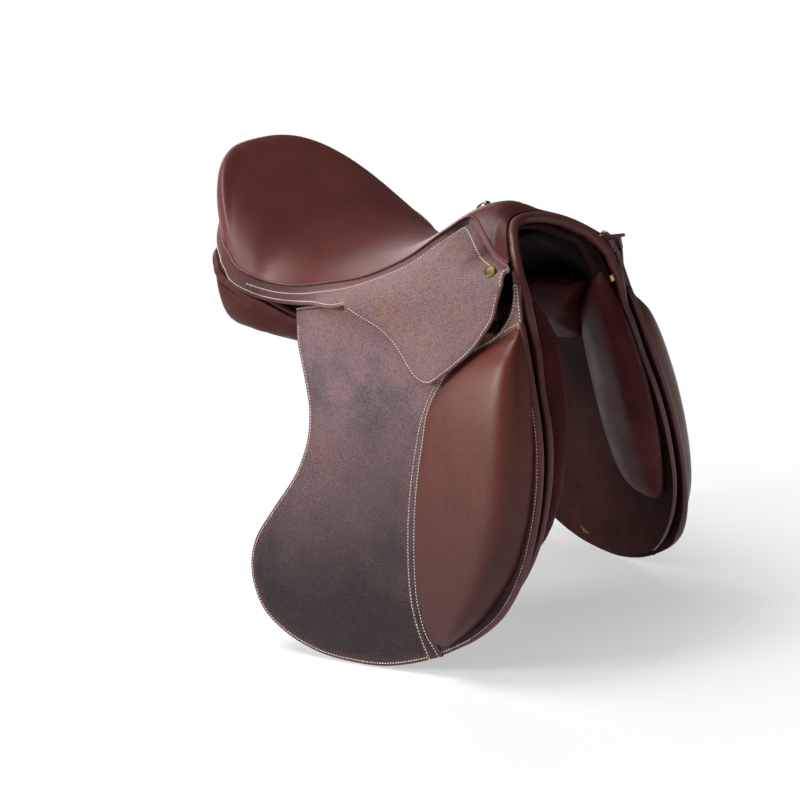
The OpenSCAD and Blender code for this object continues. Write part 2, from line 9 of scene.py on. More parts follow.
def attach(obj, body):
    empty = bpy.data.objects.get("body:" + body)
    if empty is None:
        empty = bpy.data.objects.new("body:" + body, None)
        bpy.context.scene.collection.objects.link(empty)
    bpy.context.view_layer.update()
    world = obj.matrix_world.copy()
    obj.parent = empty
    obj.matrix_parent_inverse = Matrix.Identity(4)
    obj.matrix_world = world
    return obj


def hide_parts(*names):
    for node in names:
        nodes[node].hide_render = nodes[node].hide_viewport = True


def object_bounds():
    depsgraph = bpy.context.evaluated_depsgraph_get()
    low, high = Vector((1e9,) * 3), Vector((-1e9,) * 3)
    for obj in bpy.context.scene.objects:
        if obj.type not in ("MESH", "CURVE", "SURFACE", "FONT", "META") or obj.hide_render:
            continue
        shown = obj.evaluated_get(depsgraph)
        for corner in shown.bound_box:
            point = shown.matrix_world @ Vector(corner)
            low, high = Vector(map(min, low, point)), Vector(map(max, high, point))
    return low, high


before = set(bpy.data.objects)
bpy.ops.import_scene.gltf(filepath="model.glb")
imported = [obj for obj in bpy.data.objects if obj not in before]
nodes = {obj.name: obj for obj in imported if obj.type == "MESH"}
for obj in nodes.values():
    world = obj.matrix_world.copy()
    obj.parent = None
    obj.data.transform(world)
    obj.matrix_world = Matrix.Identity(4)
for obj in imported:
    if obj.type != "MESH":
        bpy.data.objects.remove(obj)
CAD_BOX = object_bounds()
scene = bpy.context.scene
MM = 0.001
join = np.concatenate

# Camera at the photograph's viewing angle
PHI, ELEV, ROLL = (math.radians(a) for a in (50.06, 15.12, -7.36))
DIST, FOCAL_PX, IMAGE_PX, SENSOR = 1715.2, 1906.3, 800, 36
AIM = np.array([234.2, -231.9, 1.1])
cam_back = np.array([math.sin(PHI) * math.cos(ELEV), -math.cos(PHI) * math.cos(ELEV), math.sin(ELEV)])
level = np.array([math.cos(PHI), math.sin(PHI), 0])
upward = np.cross(cam_back, level)
cam_right = math.cos(ROLL) * level + math.sin(ROLL) * upward
cam_up = math.cos(ROLL) * upward - math.sin(ROLL) * level
cam_data = bpy.data.cameras.new("camera")
cam_data.sensor_width = SENSOR
cam_data.lens = FOCAL_PX / IMAGE_PX * SENSOR
cam_data.clip_end = 60
camera = bpy.data.objects.new("camera", cam_data)
scene.collection.objects.link(camera)
cam_pos = (AIM + cam_back * DIST) * MM
camera.matrix_world = Matrix([[cam_right[i], cam_up[i], cam_back[i], cam_pos[i]] for i in range(3)] + [[0, 0, 0, 1]])
scene.camera = camera
scene.view_settings.view_transform = "Standard"

# The part's surfaces, in millimetres, as the solids have them
CANTLE_BACK, CANTLE_H, CANTLE_SEAM_H, DIP_H, POMMEL_H, POMMEL_X = 246, 190, 132, 79, 131.5, 148
SEAT_W, WAIST_W, SEAM_H, TWIST_W, HEAD_X, HEAD_W = 131.5, 116, 61, 32.5, 175, 64.5
WELT_R, SEAM_GAP, ROLL_R, LAY = 2.2, 1.0, 5.5, 0.35
SIDE_Y, TOE, SPLAY, SKIRT_ROOM, SKIRT_T, FLAP_T = 140.4, math.radians(13.3), math.radians(10.9), 10, 3, 4
FOLD_V, FOLD_K, FOLD_MID, FOLD_U0, CORNER_U = 46, math.tan(math.radians(6.9)), 28, 48, 235
BEND_X, SHARP = -110, math.radians(48)
SWEAT_W, SWEAT_T, FRONT_T, GULLET_W, BLOCK_H = -15, 3, 27, 35, 28
SKIRT_W = SKIRT_ROOM + SKIRT_T
ROLL_W = SWEAT_W - SWEAT_T - LAY


def lerp(a, b, t):
    return a + (b - a) * t


def ease(t):
    c = max(0.0, min(1.0, t))
    return c * c * (3 - 2 * c)


def unit(a):
    return a / np.linalg.norm(a)


# Rows across the seat: x and height at the middle, then x, half width and height at the rim, then the powers by which
# height and x run from the middle to the rim
CX = CANTLE_BACK - 94
ROWS = np.array([
    [-CANTLE_BACK, CANTLE_SEAM_H, -CX, SEAT_W - 9, SEAM_H + 38, 2, 2.4],
    [-CANTLE_BACK - 1, lerp(CANTLE_SEAM_H, CANTLE_H, 0.72), 5 - CX, SEAT_W - 6.5, SEAM_H + 35, 2.4, 2.4],
    [13 - CANTLE_BACK, CANTLE_H, 14 - CX, SEAT_W - 4, SEAM_H + 29, 2.9, 2.35],
    [40 - CANTLE_BACK, lerp(DIP_H, CANTLE_H, 0.797), 28 - CX, SEAT_W, SEAM_H + 19, 3, 2.3],
    [83 - CANTLE_BACK, lerp(DIP_H, CANTLE_H, 0.473), 46.5 - CX, SEAT_W - 3, SEAM_H + 10, 3.1, 2.1],
    [131 - CANTLE_BACK, lerp(DIP_H, CANTLE_H, 0.171), 68 - CX, lerp(SEAT_W, WAIST_W, 0.68), SEAM_H + 2.3, 3, 2],
    [-56, lerp(DIP_H, CANTLE_H, 0.0225), -48, WAIST_W, SEAM_H, 2.7, 2],
    [3, DIP_H, -4, WAIST_W - 6, SEAM_H + 4.5, 2.3, 2],
    [50, lerp(DIP_H, POMMEL_H, 0.23), 47, lerp(WAIST_W, TWIST_W, 0.212), SEAM_H + 12.7, 2, 2],
    [95, lerp(DIP_H, POMMEL_H, 0.594), 94.5, lerp(WAIST_W, TWIST_W, 0.402), POMMEL_H - 39.8, 1.79, 2],
    [POMMEL_X - 21.7, POMMEL_H - 4.4, POMMEL_X - 23.4, TWIST_W + 24.8, POMMEL_H - 17.8, 1.67, 2],
    [POMMEL_X, POMMEL_H, POMMEL_X - 6, TWIST_W, POMMEL_H - 6.7, 1.96, 2],
    [lerp(POMMEL_X, HEAD_X, 0.43), POMMEL_H - 1, POMMEL_X + 24, lerp(TWIST_W, HEAD_W, 0.356), POMMEL_H - 24, 2.23, 1.9],
    [lerp(POMMEL_X, HEAD_X, 0.77), POMMEL_H - 5.2, POMMEL_X + 40.3, lerp(TWIST_W, HEAD_W, 0.545), POMMEL_H - 36.5,
     2.6, 1.75],
    [HEAD_X, POMMEL_H - 9.7, POMMEL_X + 71.4, HEAD_W, POMMEL_H - 41.3, 2.49, 1.67]], float)
LAST = len(ROWS) - 1


def at(p, s):
    """Smooth curve through the rows of p, at row number s."""
    i = int(max(0, min(len(p) - 2, math.floor(s))))
    t = s - i
    a, b, c, d = (p[max(0, min(len(p) - 1, j))] for j in (i - 1, i, i + 1, i + 2))
    return b + 0.5 * t * (c - a + t * (2 * a - 5 * b + 4 * c - d + t * (3 * (b - c) + d - a)))


def curve(p, n):
    """The whole smooth curve, with n steps between rows."""
    p = np.asarray(p, float)
    return np.array([at(p, i / n) for i in range((len(p) - 1) * n + 1)])


def seat(s, v):
    """Point of the seat, at row number s and share v of the half width."""
    r, a = at(ROWS, s), abs(v)
    return np.array([r[0] + (r[2] - r[0]) * a ** r[6], v * r[3], r[4] + (r[1] - r[4]) * (1 - a ** r[5])])


def seat_n(s, v):
    p, q = max(0.6, min(LAST - 0.01, s)), max(-0.93, min(0.93, v))
    return unit(np.cross(seat(p + 0.01, q) - seat(p - 0.01, q), seat(p, q + 0.01) - seat(p, q - 0.01)))


EU = np.array([math.cos(TOE), math.sin(TOE), 0])
EV = np.array([-math.sin(SPLAY) * math.sin(TOE), math.sin(SPLAY) * math.cos(TOE), math.cos(SPLAY)])
EW = np.cross(EU, EV)


def side(u, v, w):
    """Point from the side plane's own forward, up and outward lengths."""
    return np.array([0, -SIDE_Y, 0]) + u * EU + v * EV + w * EW


def fold(u):
    """Height of the line that the flaps fold on."""
    return FOLD_V + FOLD_K * (u - FOLD_MID)


def outw(p):
    """Level direction away from the seat's middle: round behind BEND_X, straight to the right ahead of it."""
    if p[0] < BEND_X:
        d = unit(np.array([p[0] - BEND_X, p[1]]))
        return np.array([d[0], d[1], 0])
    return np.array([0, -1.0, 0])


def rim(p):
    """Seat's edge, across the rear for p below 0, then forward by row number."""
    return seat(0, -(1 + p)) if p < 0 else seat(min(p, LAST), -1)


def seam_dir(p):
    """Way down and out from the rim, square to it."""
    t = unit(rim(min(LAST, p + 0.25)) - rim(-1 if p <= -0.75 else p - 0.25))
    d = 0.5 * outw(rim(p)) - np.array([0, 0, 0.87])
    return unit(d - (d @ t) * t)


def gap_at(p):
    """Room beside the seam cord, which opens a little where the rim turns at the pommel."""
    return SEAM_GAP + 0.8 * ease((p - 8.4) / 0.7) * ease((11.8 - p) / 0.7)


def skirt_top(p):
    if p <= LAST:
        return rim(p) + 2 * (WELT_R + gap_at(p)) * seam_dir(p)
    return lerp(skirt_top(LAST), side(CORNER_U + 9, fold(CORNER_U) + 15, SKIRT_W), p - LAST)


def skirt_low(p):
    e = skirt_top(p)
    if p > LAST:
        return lerp(skirt_low(LAST), side(CORNER_U, fold(CORNER_U), SKIRT_W), p - LAST)
    if e[0] >= FOLD_U0 * EU[0]:
        u = (e[0] - (FOLD_V - FOLD_K * FOLD_MID) * EV[0] - SKIRT_W * EW[0]) / (EU[0] + FOLD_K * EV[0])
        return side(u, fold(u), SKIRT_W)
    out = 4 + 3 * ease((e[0] + 170) / 60) + 22 * ease((e[0] + 60) / 105)
    return e + out * outw(e) - np.array([0, 0, 13 + 5 * ease((e[0] + 10) / 45)])


def skirt(p, t):
    """Point of the skirt, at p along the rim and share t of its depth."""
    e, l = skirt_top(p), skirt_low(p)
    k = l + (0.6 + 0.5 * ease((p - 11) / 3)) * (e[2] - l[2]) * EV
    return (1 - t) ** 2 * e + 2 * t * (1 - t) * k + t * t * l


def skirt_n(p, t):
    return unit(np.cross(skirt(p, t + 0.02) - skirt(p, t - 0.02), skirt(min(15, p + 0.02), t) - skirt(p - 0.02, t)))


# Outlines in the side plane, and cross-sections of the padded pieces
FLAP_FRONT = [[249, 34], [254, 10], [261, -27], [267, -65], [269, -103], [264, -151], [250, -203], [227, -245],
              [198, -273], [163, -293], [126, -308], [82, -318], [39, -319], [0, -315], [-40, -302], [-73, -280],
              [-88, -253], [-91, -226], [-82, -198], [-56, -164], [-29, -130], [-13, -95], [-9, -61], [-15, -26],
              [-22, 5], [-23, 24]]
SKIRT_EDGE = [[229, 53], [225, 39], [216, 26], [202, 9], [182, -7], [164, -19], [149, -27], [134, -24], [122, -13],
              [107, 6], [87, 24], [64, 36.5]]
SWEAT_EDGE = [[247, 34], [256, 14], [264, -29], [271, -67], [272, -105], [267, -144], [258, -179], [240, -215],
              [212, -250], [176, -279], [120, -296], [60, -290], [20, -262], [2, -200], [4, -120], [12, -40], [12, 30]]
BLOCK = np.array([[31, 243, 248.5, 0.06], [22, 229, 250, 0.2], [14, 211, 252, 0.4], [2, 189, 255, 0.64],
                  [-14, 168, 258, 0.8], [-32, 154, 260, 0.9], [-56, 141, 262, 0.97], [-85, 135, 263, 1],
                  [-124, 128, 261, 1], [-164, 124, 254, 0.98], [-204, 123, 240, 0.94], [-240, 125, 217, 0.84],
                  [-262, 130, 197, 0.68], [-277, 136, 178, 0.46], [-286, 142, 165, 0.22]], float)
PROFILE = np.array([[0, 0.05], [0.06, 0.17], [0.22, 0.4], [0.42, 0.65], [0.6, 0.86], [0.75, 1], [0.86, 0.95],
                    [0.94, 0.66], [0.985, 0.28], [1, 0.05]])
FRONT = np.array([[60, 231, 244, 0.25], [50, 223, 251, 0.55], [38, 208, 258, 0.75], [20, 194, 266, 0.92],
                  [-4, 183, 273, 1], [-40, 175, 278, 1], [-70, 172, 278, 1], [-108, 170, 275, 1],
                  [-148, 172, 266, 0.95], [-176, 179, 255, 0.8], [-190, 188, 245, 0.5], [-197, 198, 234, 0.25]], float)
ROUND = np.array([[0, 0.02], [0.25, 0], [0.5, 0], [0.8, 0], [0.93, 0.06], [0.985, 0.26], [1, 0.5], [0.985, 0.76],
                  [0.93, 0.94], [0.8, 1], [0.5, 0.96], [0.25, 0.72], [0.08, 0.4]])
PANEL = np.array([[-214, 80, 84, 80, 70, 68], [-208, 94, 93, 84, 56, 56], [-197, 108, 94, 80, 42, 44],
                  [-180, 121, 86, 74, 25, 30], [-155, 135, 74, 66, 10, 16], [-115, 138, 57, 51, 2, 8],
                  [-76, 131, 46, 33, -1, 1], [-42, 126, 42, 22, -2, -4], [0, 0, 38, 20, -2, -10],
                  [40, 0, 38, 24, 0, -24], [85, 0, 42, 32, 2, -34], [130, 0, 48, 40, 6, -38],
                  [160, 0, 50, 42, 9, -32], [167, 0, 50, 43, 12, -20], [180, 0, 50, 44, 16, 4],
                  [191, 0, 49, 45, 26, 26], [201, 0, 47, 45, 38, 39]], float)
EDGE = np.array([[0, 0.15], [0.08, 0.03], [0.3, 0], [0.7, 0], [0.92, 0.04], [1, 0.25], [1, 0.6], [0.97, 0.86],
                 [0.88, 1], [0.6, 1], [0.3, 1], [0.08, 0.94], [0, 0.75]])


# Materials
def fill(nt, n, **values):
    """Sets a node's properties by name, and its inputs, to a value or a link, by i_name or i_number."""
    for k, v in values.items():
        if not k.startswith("i_"):
            setattr(n, k, v)
            continue
        key = k[2:].replace("_", " ")
        sock = n.inputs[int(key) if key.isdigit() else key]
        if hasattr(v, "links"):
            nt.links.new(v, sock)
        else:
            sock.default_value = v
    return n


def add(nt, kind, **values):
    return fill(nt, nt.nodes.new("ShaderNode" + kind), **values)


def maths(nt, kind, *values):
    return add(nt, "Math", operation=kind, **{"i_%d" % i: v for i, v in enumerate(values)}).outputs[0]


def noise(nt, where, **values):
    return add(nt, "TexNoise", i_Vector=where, **values).outputs["Fac"]


def ramp(nt, src, stops):
    r = add(nt, "ValToRGB", i_0=src)
    r.color_ramp.interpolation = "EASE"
    for i, (pos, col) in enumerate(stops):
        e = r.color_ramp.elements[i] if i < 2 else r.color_ramp.elements.new(pos)
        e.position, e.color = pos, (*col, 1)
    return r.outputs[0]


def mix(nt, kind, fac, a, b):
    b = (*b, 1) if isinstance(b, tuple) else b
    return add(nt, "Mix", data_type="RGBA", blend_type=kind, i_0=fac, i_6=a, i_7=b).outputs[2]


def spread(nt, src, a, b, lo, hi):
    return add(nt, "MapRange", i_0=src, i_1=a, i_2=b, i_3=lo, i_4=hi).outputs[0]


def material(name):
    m = bpy.data.materials.new(name)
    m.use_nodes = True
    return m, m.node_tree, m.node_tree.nodes["Principled BSDF"]


def rgb(text):
    """Linear colour from a screen colour written in hexadecimal."""
    c = [int(text[i:i + 2], 16) / 255 for i in (0, 2, 4)]
    return tuple(x / 12.92 if x < 0.04045 else ((x + 0.055) / 1.055) ** 2.4 for x in c)


# The last colour here is multiplied into leather where shade is painted on
GROOVE, WHITE, PAINTED_SHADE_TONE = (0.3, 0.28, 0.3), (1, 1, 1), (0.45, 0.31, 0.31)


def leather(name, dark, mid, light, cell, relief, rough, cloud=14, pores=0.25, shine=0.3, edge=None, low=None):
    """Leather: clouds of three tones, turning to the low tone lower down (partly the leather's own tone, partly painted
    shade), pebbles of a cell size in mm, a tint at the edges, and painted shade multiplied in from a vertex attribute.
    """
    m, nt, b = material(name)
    cell *= MM
    tc = add(nt, "TexCoord").outputs["Object"]
    big = noise(nt, tc, i_Scale=cloud, i_Detail=5, i_Roughness=0.62)
    col = ramp(nt, big, [(0.3, rgb(dark)), (0.7, rgb(light)), (0.5, rgb(mid))])
    # Lower down the colour turns to the low tone: partly the leather's own tone, partly painted shade
    if low:
        height = add(nt, "SeparateXYZ", i_0=tc).outputs[2]
        drift = maths(nt, "MULTIPLY_ADD", noise(nt, tc, i_Scale=6, i_Detail=3), 0.16, height)
        col = mix(nt, "MIX", spread(nt, drift, low[1], low[2], 0, 0.95), col, rgb(low[0]))
    warp = add(nt, "TexNoise", i_Vector=tc, i_Scale=0.35 / cell, i_Detail=2).outputs["Color"]
    shift = add(nt, "VectorMath", operation="MULTIPLY_ADD", i_0=warp, i_1=(cell * 0.5,) * 3, i_2=tc).outputs[0]
    pebbles = add(nt, "TexVoronoi", feature="DISTANCE_TO_EDGE", i_Vector=shift, i_Scale=1 / cell)
    hills = spread(nt, pebbles.outputs["Distance"], 0, 0.24, 0, 1)
    col = mix(nt, "MULTIPLY", pores, col, ramp(nt, hills, [(0.0, GROOVE), (0.9, WHITE)]))
    # The edge colour is mixed in at the edges (on the skirt's band it also paints shade), then the painted shade colour
    # is multiplied in
    if edge:
        col = mix(nt, "MIX", add(nt, "Attribute", attribute_name="tint").outputs["Fac"], col, rgb(edge))
        col = mix(nt, "MULTIPLY", add(nt, "Attribute", attribute_name="painted_shade").outputs["Fac"], col, PAINTED_SHADE_TONE)
    height = maths(nt, "MULTIPLY_ADD", noise(nt, tc, i_Scale=2.6 / cell, i_Detail=3), 0.25, hills)
    bump = add(nt, "Bump", i_Strength=1.0, i_Distance=relief * MM, i_Height=height).outputs[0]
    worn = spread(nt, noise(nt, tc, i_Scale=30, i_Detail=4), 0.3, 0.7, *rough)
    fill(nt, b, i_Base_Color=col, i_Normal=bump, i_Roughness=worn, i_Specular_IOR_Level=shine)
    return m


def plain(name, dark, light, rough, scale, relief=0.15, metal=0.0, squeeze=(1, 1, 1)):
    """Other stuffs: two tones of noise, with roughness and bump from the same noise."""
    m, nt, b = material(name)
    fit = add(nt, "Mapping", i_Vector=add(nt, "TexCoord").outputs["Object"], i_Scale=squeeze).outputs[0]
    n = noise(nt, fit, i_Scale=scale, i_Detail=6, i_Roughness=0.65)
    col = ramp(nt, n, [(0.35, rgb(dark)), (0.65, rgb(light))])
    bump = add(nt, "Bump", i_Strength=0.6, i_Distance=relief * MM, i_Height=n).outputs[0]
    fill(nt, b, i_Base_Color=col, i_Roughness=spread(nt, n, 0.3, 0.7, *rough), i_Normal=bump, i_Metallic=metal)
    return m


calf = leather("calf", "552927", "602f2b", "6b3732", 0.9, 0.02, (0.38, 0.48), cloud=7, pores=0.02, shine=0.3,
               edge="602f2b")
rim_calf = leather("rim_calf", "4f2a28", "653835", "75453f", 0.9, 0.03, (0.36, 0.47), cloud=9, pores=0.02)
bind_calf = leather("bind_calf", "48241f", "5b302b", "683a34", 0.9, 0.03, (0.32, 0.42), cloud=9, pores=0.02, shine=0.4)
dark_calf = leather("dark_calf", "240f0f", "321816", "3b1d1b", 0.9, 0.05, (0.4, 0.5), cloud=9, pores=0.1, shine=0.1)
block_calf = leather("block_calf", "56241a", "692f23", "75382b", 1.9, 0.06, (0.34, 0.44), cloud=8, pores=0.5,
                     shine=0.34, low=("3e150b", 0.04, -0.18))
panel_calf = leather("panel_calf", "3a1a16", "48221d", "542b25", 1.1, 0.05, (0.36, 0.5), cloud=12, pores=0.1,
                     shine=0.06)
# The grained hide's tones are its own reddish brown, lightened and greyed with painted sheen
grain = leather("grain", "6c6064", "94787a", "a0776e", 2.0, 0.3, (0.42, 0.56), cloud=11, pores=0.8, shine=0.26,
                edge="6b4240", low=("29171c", 0.04, -0.16))
strap_hide = leather("strap_hide", "4b2d27", "5e3a32", "6d463c", 1.2, 0.1, (0.45, 0.6), cloud=20, pores=0.2)
# Deep brown hide for inner faces: its dark colour is painted shade
shaded_inner_hide = leather("shaded_inner_hide", "2a1512", "371d19", "42241f", 1.3, 0.1, (0.5, 0.65), cloud=14, pores=0.2, shine=0.02)
# Near-black hide: its colour is painted shade, in the gullet and behind the band
painted_shade_hide = leather("painted_shade_hide", "130908", "1c0e0d", "251312", 1.3, 0.1, (0.55, 0.7), cloud=14, pores=0.2, shine=0.1)
thread = plain("thread", "e2d8ce", "f4eee8", (0.6, 0.8), 2500, 0.1)
brass = plain("brass", "4a4630", "6d6444", (0.35, 0.55), 240, 0.05, 1.0)
rim_brass = plain("rim_brass", "7d673a", "9c8450", (0.28, 0.42), 200, 0.03, 1.0)
bright = plain("bright_brass", "a8863c", "c9a758", (0.22, 0.38), 160, 0.03, 1.0)
pewter = plain("pewter", "6f7277", "9a8f70", (0.2, 0.35), 180, 0.03, 1.0)
steel = plain("steel", "6d6f72", "8f9194", (0.28, 0.45), 200, 0.03, 1.0)
beech = plain("beech", "9a744a", "b98f5f", (0.5, 0.65), 90, 0.2, squeeze=(0.15, 1, 1))
webbing = plain("webbing", "b8a88a", "cfc1a4", (0.75, 0.9), 900, 0.4, squeeze=(0.3, 1, 1))
foam = plain("foam", "c9b987", "d8ca9d", (0.85, 0.95), 700, 0.5)


# Meshes
SMOOTH, GRAINED = "smooth_leather", "grained_leather"


def piece(name, verts, faces, mat, body, slot=None, mirror=False, tint=None, painted_shade=None, lining=None, stands_for=()):
    """A new mesh piece from points in millimetres, on the left side where mirror is set; lining is the material of its
    inner face, whose dark colour paints the shade there.
    """
    v = np.asarray(verts, float) * MM
    faces = [tuple(int(i) for i in f) for f in faces]
    if mirror:
        v = v * (1, -1, 1)
        faces = [f[::-1] for f in faces]
    me = bpy.data.meshes.new(name)
    me.from_pydata(v.tolist(), [], faces)
    me.validate()
    me.polygons.foreach_set("use_smooth", [True] * len(me.polygons))
    me.set_sharp_from_angle(angle=SHARP)
    for key, share in (("tint", tint), ("painted_shade", painted_shade)):
        if share is not None:
            a = me.attributes.new(key, "FLOAT", "POINT")
            a.data.foreach_set("value", np.asarray(share, np.float32))
    me.materials.append(mat)
    if lining:
        me.materials.append(lining)
        out = EW * (1, -1 if mirror else 1, 1)
        me.polygons.foreach_set("material_index", [int(np.dot(q.normal, out) < -0.6) for q in me.polygons])
    o = bpy.data.objects.new(name, me)
    scene.collection.objects.link(o)
    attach(o, body)
    if stands_for:
        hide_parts(*stands_for)
    return o


def cover(node, ending, *mesh, **more):
    """The piece that stands for one node of the part and is named after it."""
    return piece(node + ending, *mesh, stands_for=(node,), **more)


def bridge(a, b, m, back=False):
    """Faces between two rings of m points that start at a and b, turned over by back."""
    pairs = [(j, (j + 1) % m) for j in range(m)]
    return [(a + k, a + j, b + j, b + k) if back else (a + j, a + k, b + k, b + j) for j, k in pairs]


def loft(rings, round_off=0.0):
    """Closed skin through rings of equal length; ends are drawn in by rounding, then closed."""
    rings = [np.asarray(r, float) for r in rings]
    if round_off:
        def cap(r, step):
            c = r.mean(0)
            return [c + (r - c) * k + step * h for k, h in ((0.9, 0.45), (0.68, 0.85), (0.36, 1.0))]
        first, last = rings[0], rings[-1]
        d0, d1 = unit(first.mean(0) - rings[1].mean(0)), unit(last.mean(0) - rings[-2].mean(0))
        rings = cap(first, d0 * round_off)[::-1] + rings + cap(last, d1 * round_off)
    n, m = len(rings), len(rings[0])
    f = [q for i in range(n - 1) for q in bridge(i * m, (i + 1) * m, m)]
    v = join(rings + [rings[0].mean(0)[None], rings[-1].mean(0)[None]])
    f += [(n * m, (j + 1) % m, j) for j in range(m)]
    f += [(n * m + 1, (n - 1) * m + j, (n - 1) * m + (j + 1) % m) for j in range(m)]
    return v, f


def tube(path, radius, sides=12, hints=None, flat=1.0):
    """Round cord along a path; radius may be a list, flat squeezes it along the hints."""
    path = np.asarray(path, float)
    n = len(path)
    r = np.broadcast_to(np.asarray(radius, float), (n,))
    tan = np.array([unit(path[min(n - 1, i + 1)] - path[max(0, i - 1)]) for i in range(n)])
    a = unit(np.cross(tan[0], [0.31, 0.52, 0.8]))
    rings = []
    for i in range(n):
        h = a if hints is None else hints[i]
        a = unit(h - (h @ tan[i]) * tan[i])
        b = np.cross(tan[i], a)
        ang = np.arange(sides) * 2 * math.pi / sides
        rings.append(path[i] + r[i] * (np.outer(np.cos(ang) * flat, a) + np.outer(np.sin(ang), b)))
    return loft(rings, r[0] * 0.9)


def ease_corner(rows, ps):
    """Rounds the turn at the cantle's corner, where row number 0 is."""
    rows = np.array(rows, float)
    share = np.array([ease((p + 0.7) / 0.4) * ease(2.2 - p) for p in ps])
    share = share[1:-1].reshape((-1,) + (1,) * (rows.ndim - 1))
    for _ in range(12):
        rows[1:-1] += share * (0.25 * rows[:-2] + 0.25 * rows[2:] - 0.5 * rows[1:-1])
    return rows


def strip_sheet(top, low):
    """Closed shell between two grids of points with the same shape."""
    top, low = np.asarray(top, float), np.asarray(low, float)
    n, m = top.shape[:2]
    q = n * m
    idx = np.arange(q).reshape(n, m)
    f = [(idx[i, j], idx[i, j + 1], idx[i + 1, j + 1], idx[i + 1, j]) for i in range(n - 1) for j in range(m - 1)]
    f += [tuple(q + k for k in reversed(g)) for g in f]
    edge = list(idx[0, :]) + list(idx[1:, -1]) + list(idx[-1, -2::-1]) + list(idx[-2:0:-1, 0])
    f += [(edge[(k + 1) % len(edge)], edge[k], edge[k] + q, edge[(k + 1) % len(edge)] + q) for k in range(len(edge))]
    return join([top.reshape(-1, 3), low.reshape(-1, 3)]), f


def along(path, step, closed=False):
    """Points at even steps along a line."""
    p = np.asarray(path, float)
    if closed:
        p = join([p, p[:1]])
    d = join([[0], np.cumsum(np.linalg.norm(np.diff(p, axis=0), axis=1))])
    n = max(2, int(round(d[-1] / step)))
    s = np.linspace(0, d[-1], n + 1)[: n if closed else n + 1]
    return np.stack([np.interp(s, d, p[:, k]) for k in range(p.shape[1])], 1)


def normals2(p, closed=True):
    """Outward normals of a line that runs anticlockwise."""
    if closed:
        t = np.roll(p, -1, 0) - np.roll(p, 1, 0)
    else:
        t = np.gradient(p, axis=0)
    t /= np.linalg.norm(t, axis=1)[:, None]
    return np.stack([t[:, 1], -t[:, 0]], 1)


def inside(pts, poly):
    """Which points lie within a closed line."""
    x, y = pts[:, 0][:, None], pts[:, 1][:, None]
    a, b = poly, np.roll(poly, -1, 0)
    cross = ((a[:, 1] > y) != (b[:, 1] > y)) & (
        x < (b[:, 0] - a[:, 0]) * (y - a[:, 1]) / (b[:, 1] - a[:, 1] + 1e-12) + a[:, 0])
    return cross.sum(1) % 2 == 1


HOLE_SIDES = 14


def plate(outline, w0, w1, radius, step=4.0, grid=9.0, lift=None, fade=14.0, square=None, holes=()):
    """Flat hide with rounded edges in the side plane, with round holes and a tint that fades from the edge."""
    p = along(outline, step, True)
    if np.sum(p[:, 0] * np.roll(p[:, 1], -1) - np.roll(p[:, 0], -1) * p[:, 1]) < 0:
        p = p[::-1]
    nrm, m = normals2(p), len(p)
    rad = np.array([0.08 if square and square(*q) else radius for q in p])[:, None]
    rings = []
    for a in (0, 30, 60, 90):
        c, d = 1 - math.sin(math.radians(a)), 1 - math.cos(math.radians(a))
        rings.append((p - nrm * rad * c, w1 - rad[:, 0] * d))
    rings += [(q, w0 + w1 - w) for q, w in reversed(rings)]
    rim_in = rings[0][0]
    lo, hi = p.min(0), p.max(0)
    gx, gy = np.meshgrid(np.arange(lo[0] + grid / 3, hi[0], grid), np.arange(lo[1] + grid / 3, hi[1], grid))
    gx = gx + grid / 2 * (np.arange(gx.shape[0]) % 2)[:, None]
    g = np.stack([gx.ravel(), gy.ravel()], 1)
    g = g[inside(g, rim_in)]
    g = g[np.array([np.min(np.linalg.norm(rim_in - q, axis=1)) for q in g]) > grid * 0.45]
    turn = [2 * math.pi * k / HOLE_SIDES for k in range(HOLE_SIDES)]
    loops = [np.array([[u + r * math.cos(a), v + r * math.sin(a)] for a in turn]) for u, v, r in holes]
    for u, v, r in holes:
        g = g[np.hypot(g[:, 0] - u, g[:, 1] - v) > r + grid * 0.3]
    g = join(loops + [g])
    pts = join([rim_in, g])
    ties = [(i, (i + 1) % m) for i in range(m)]
    for start in range(m, m + HOLE_SIDES * len(loops), HOLE_SIDES):
        ties += [(start + i, start + (i + 1) % HOLE_SIDES) for i in range(HOLE_SIDES)]
    out = delaunay_2d_cdt([tuple(q) for q in pts], ties, [], 1, 1e-6)
    source = [o[0] if o else None for o in out[3]]
    tri = [tuple(source[i] for i in f) for f in out[2]]
    tri = [f for f in tri if None not in f and not any(
        np.hypot(*(pts[list(f)].mean(0) - (u, v))) < r * 0.97 and min(f) >= m for u, v, r in holes)]

    def place(q, w):
        bend = np.array([lift(a, b) for a, b in q]) if lift else np.zeros(len(q))
        w = np.broadcast_to(w, (len(q),))
        return np.array([side(a, b, h + c) for (a, b), c, h in zip(q, bend, w)])
    v = [place(g, w1), place(g, w0)] + [place(q, w) for q, w in rings]
    k, base = len(g), 2 * len(g)
    end = base + (len(rings) - 1) * m
    f = [tuple(base + i if i < m else i - m for i in t) for t in tri]
    f += [tuple(end + i if i < m else k + i - m for i in reversed(t)) for t in tri]
    for r in range(len(rings) - 1):
        s = base + r * m
        f += [(s + i, s + m + i, s + m + (i + 1) % m, s + (i + 1) % m) for i in range(m)]
    for start in range(0, HOLE_SIDES * len(loops), HOLE_SIDES):
        f += bridge(start, k + start, HOLE_SIDES)
    cut = p[rad[:, 0] > 0.1]
    near = np.array([np.min(np.linalg.norm(cut - q, axis=1)) for q in g])
    rim_t = np.array([np.min(np.linalg.norm(cut - q, axis=1)) for q in p])
    t, e = np.clip(1 - near / fade, 0, 1), np.clip(1 - rim_t / fade, 0, 1)
    return join(v), f, join([t, t] + [e] * len(rings))


# A stitch: share of its length and radius at each ring, its radius and slant, how far it stands up and dips, its sides
STITCH_AT = ((-0.5, 0.12), (-0.4, 0.75), (0.0, 1.0), (0.4, 0.75), (0.5, 0.12))
STITCH_R, STITCH_SLANT, STITCH_UP, STITCH_DIP, STITCH_SIDES = 0.52, math.radians(14), 0.28, 0.35, 6


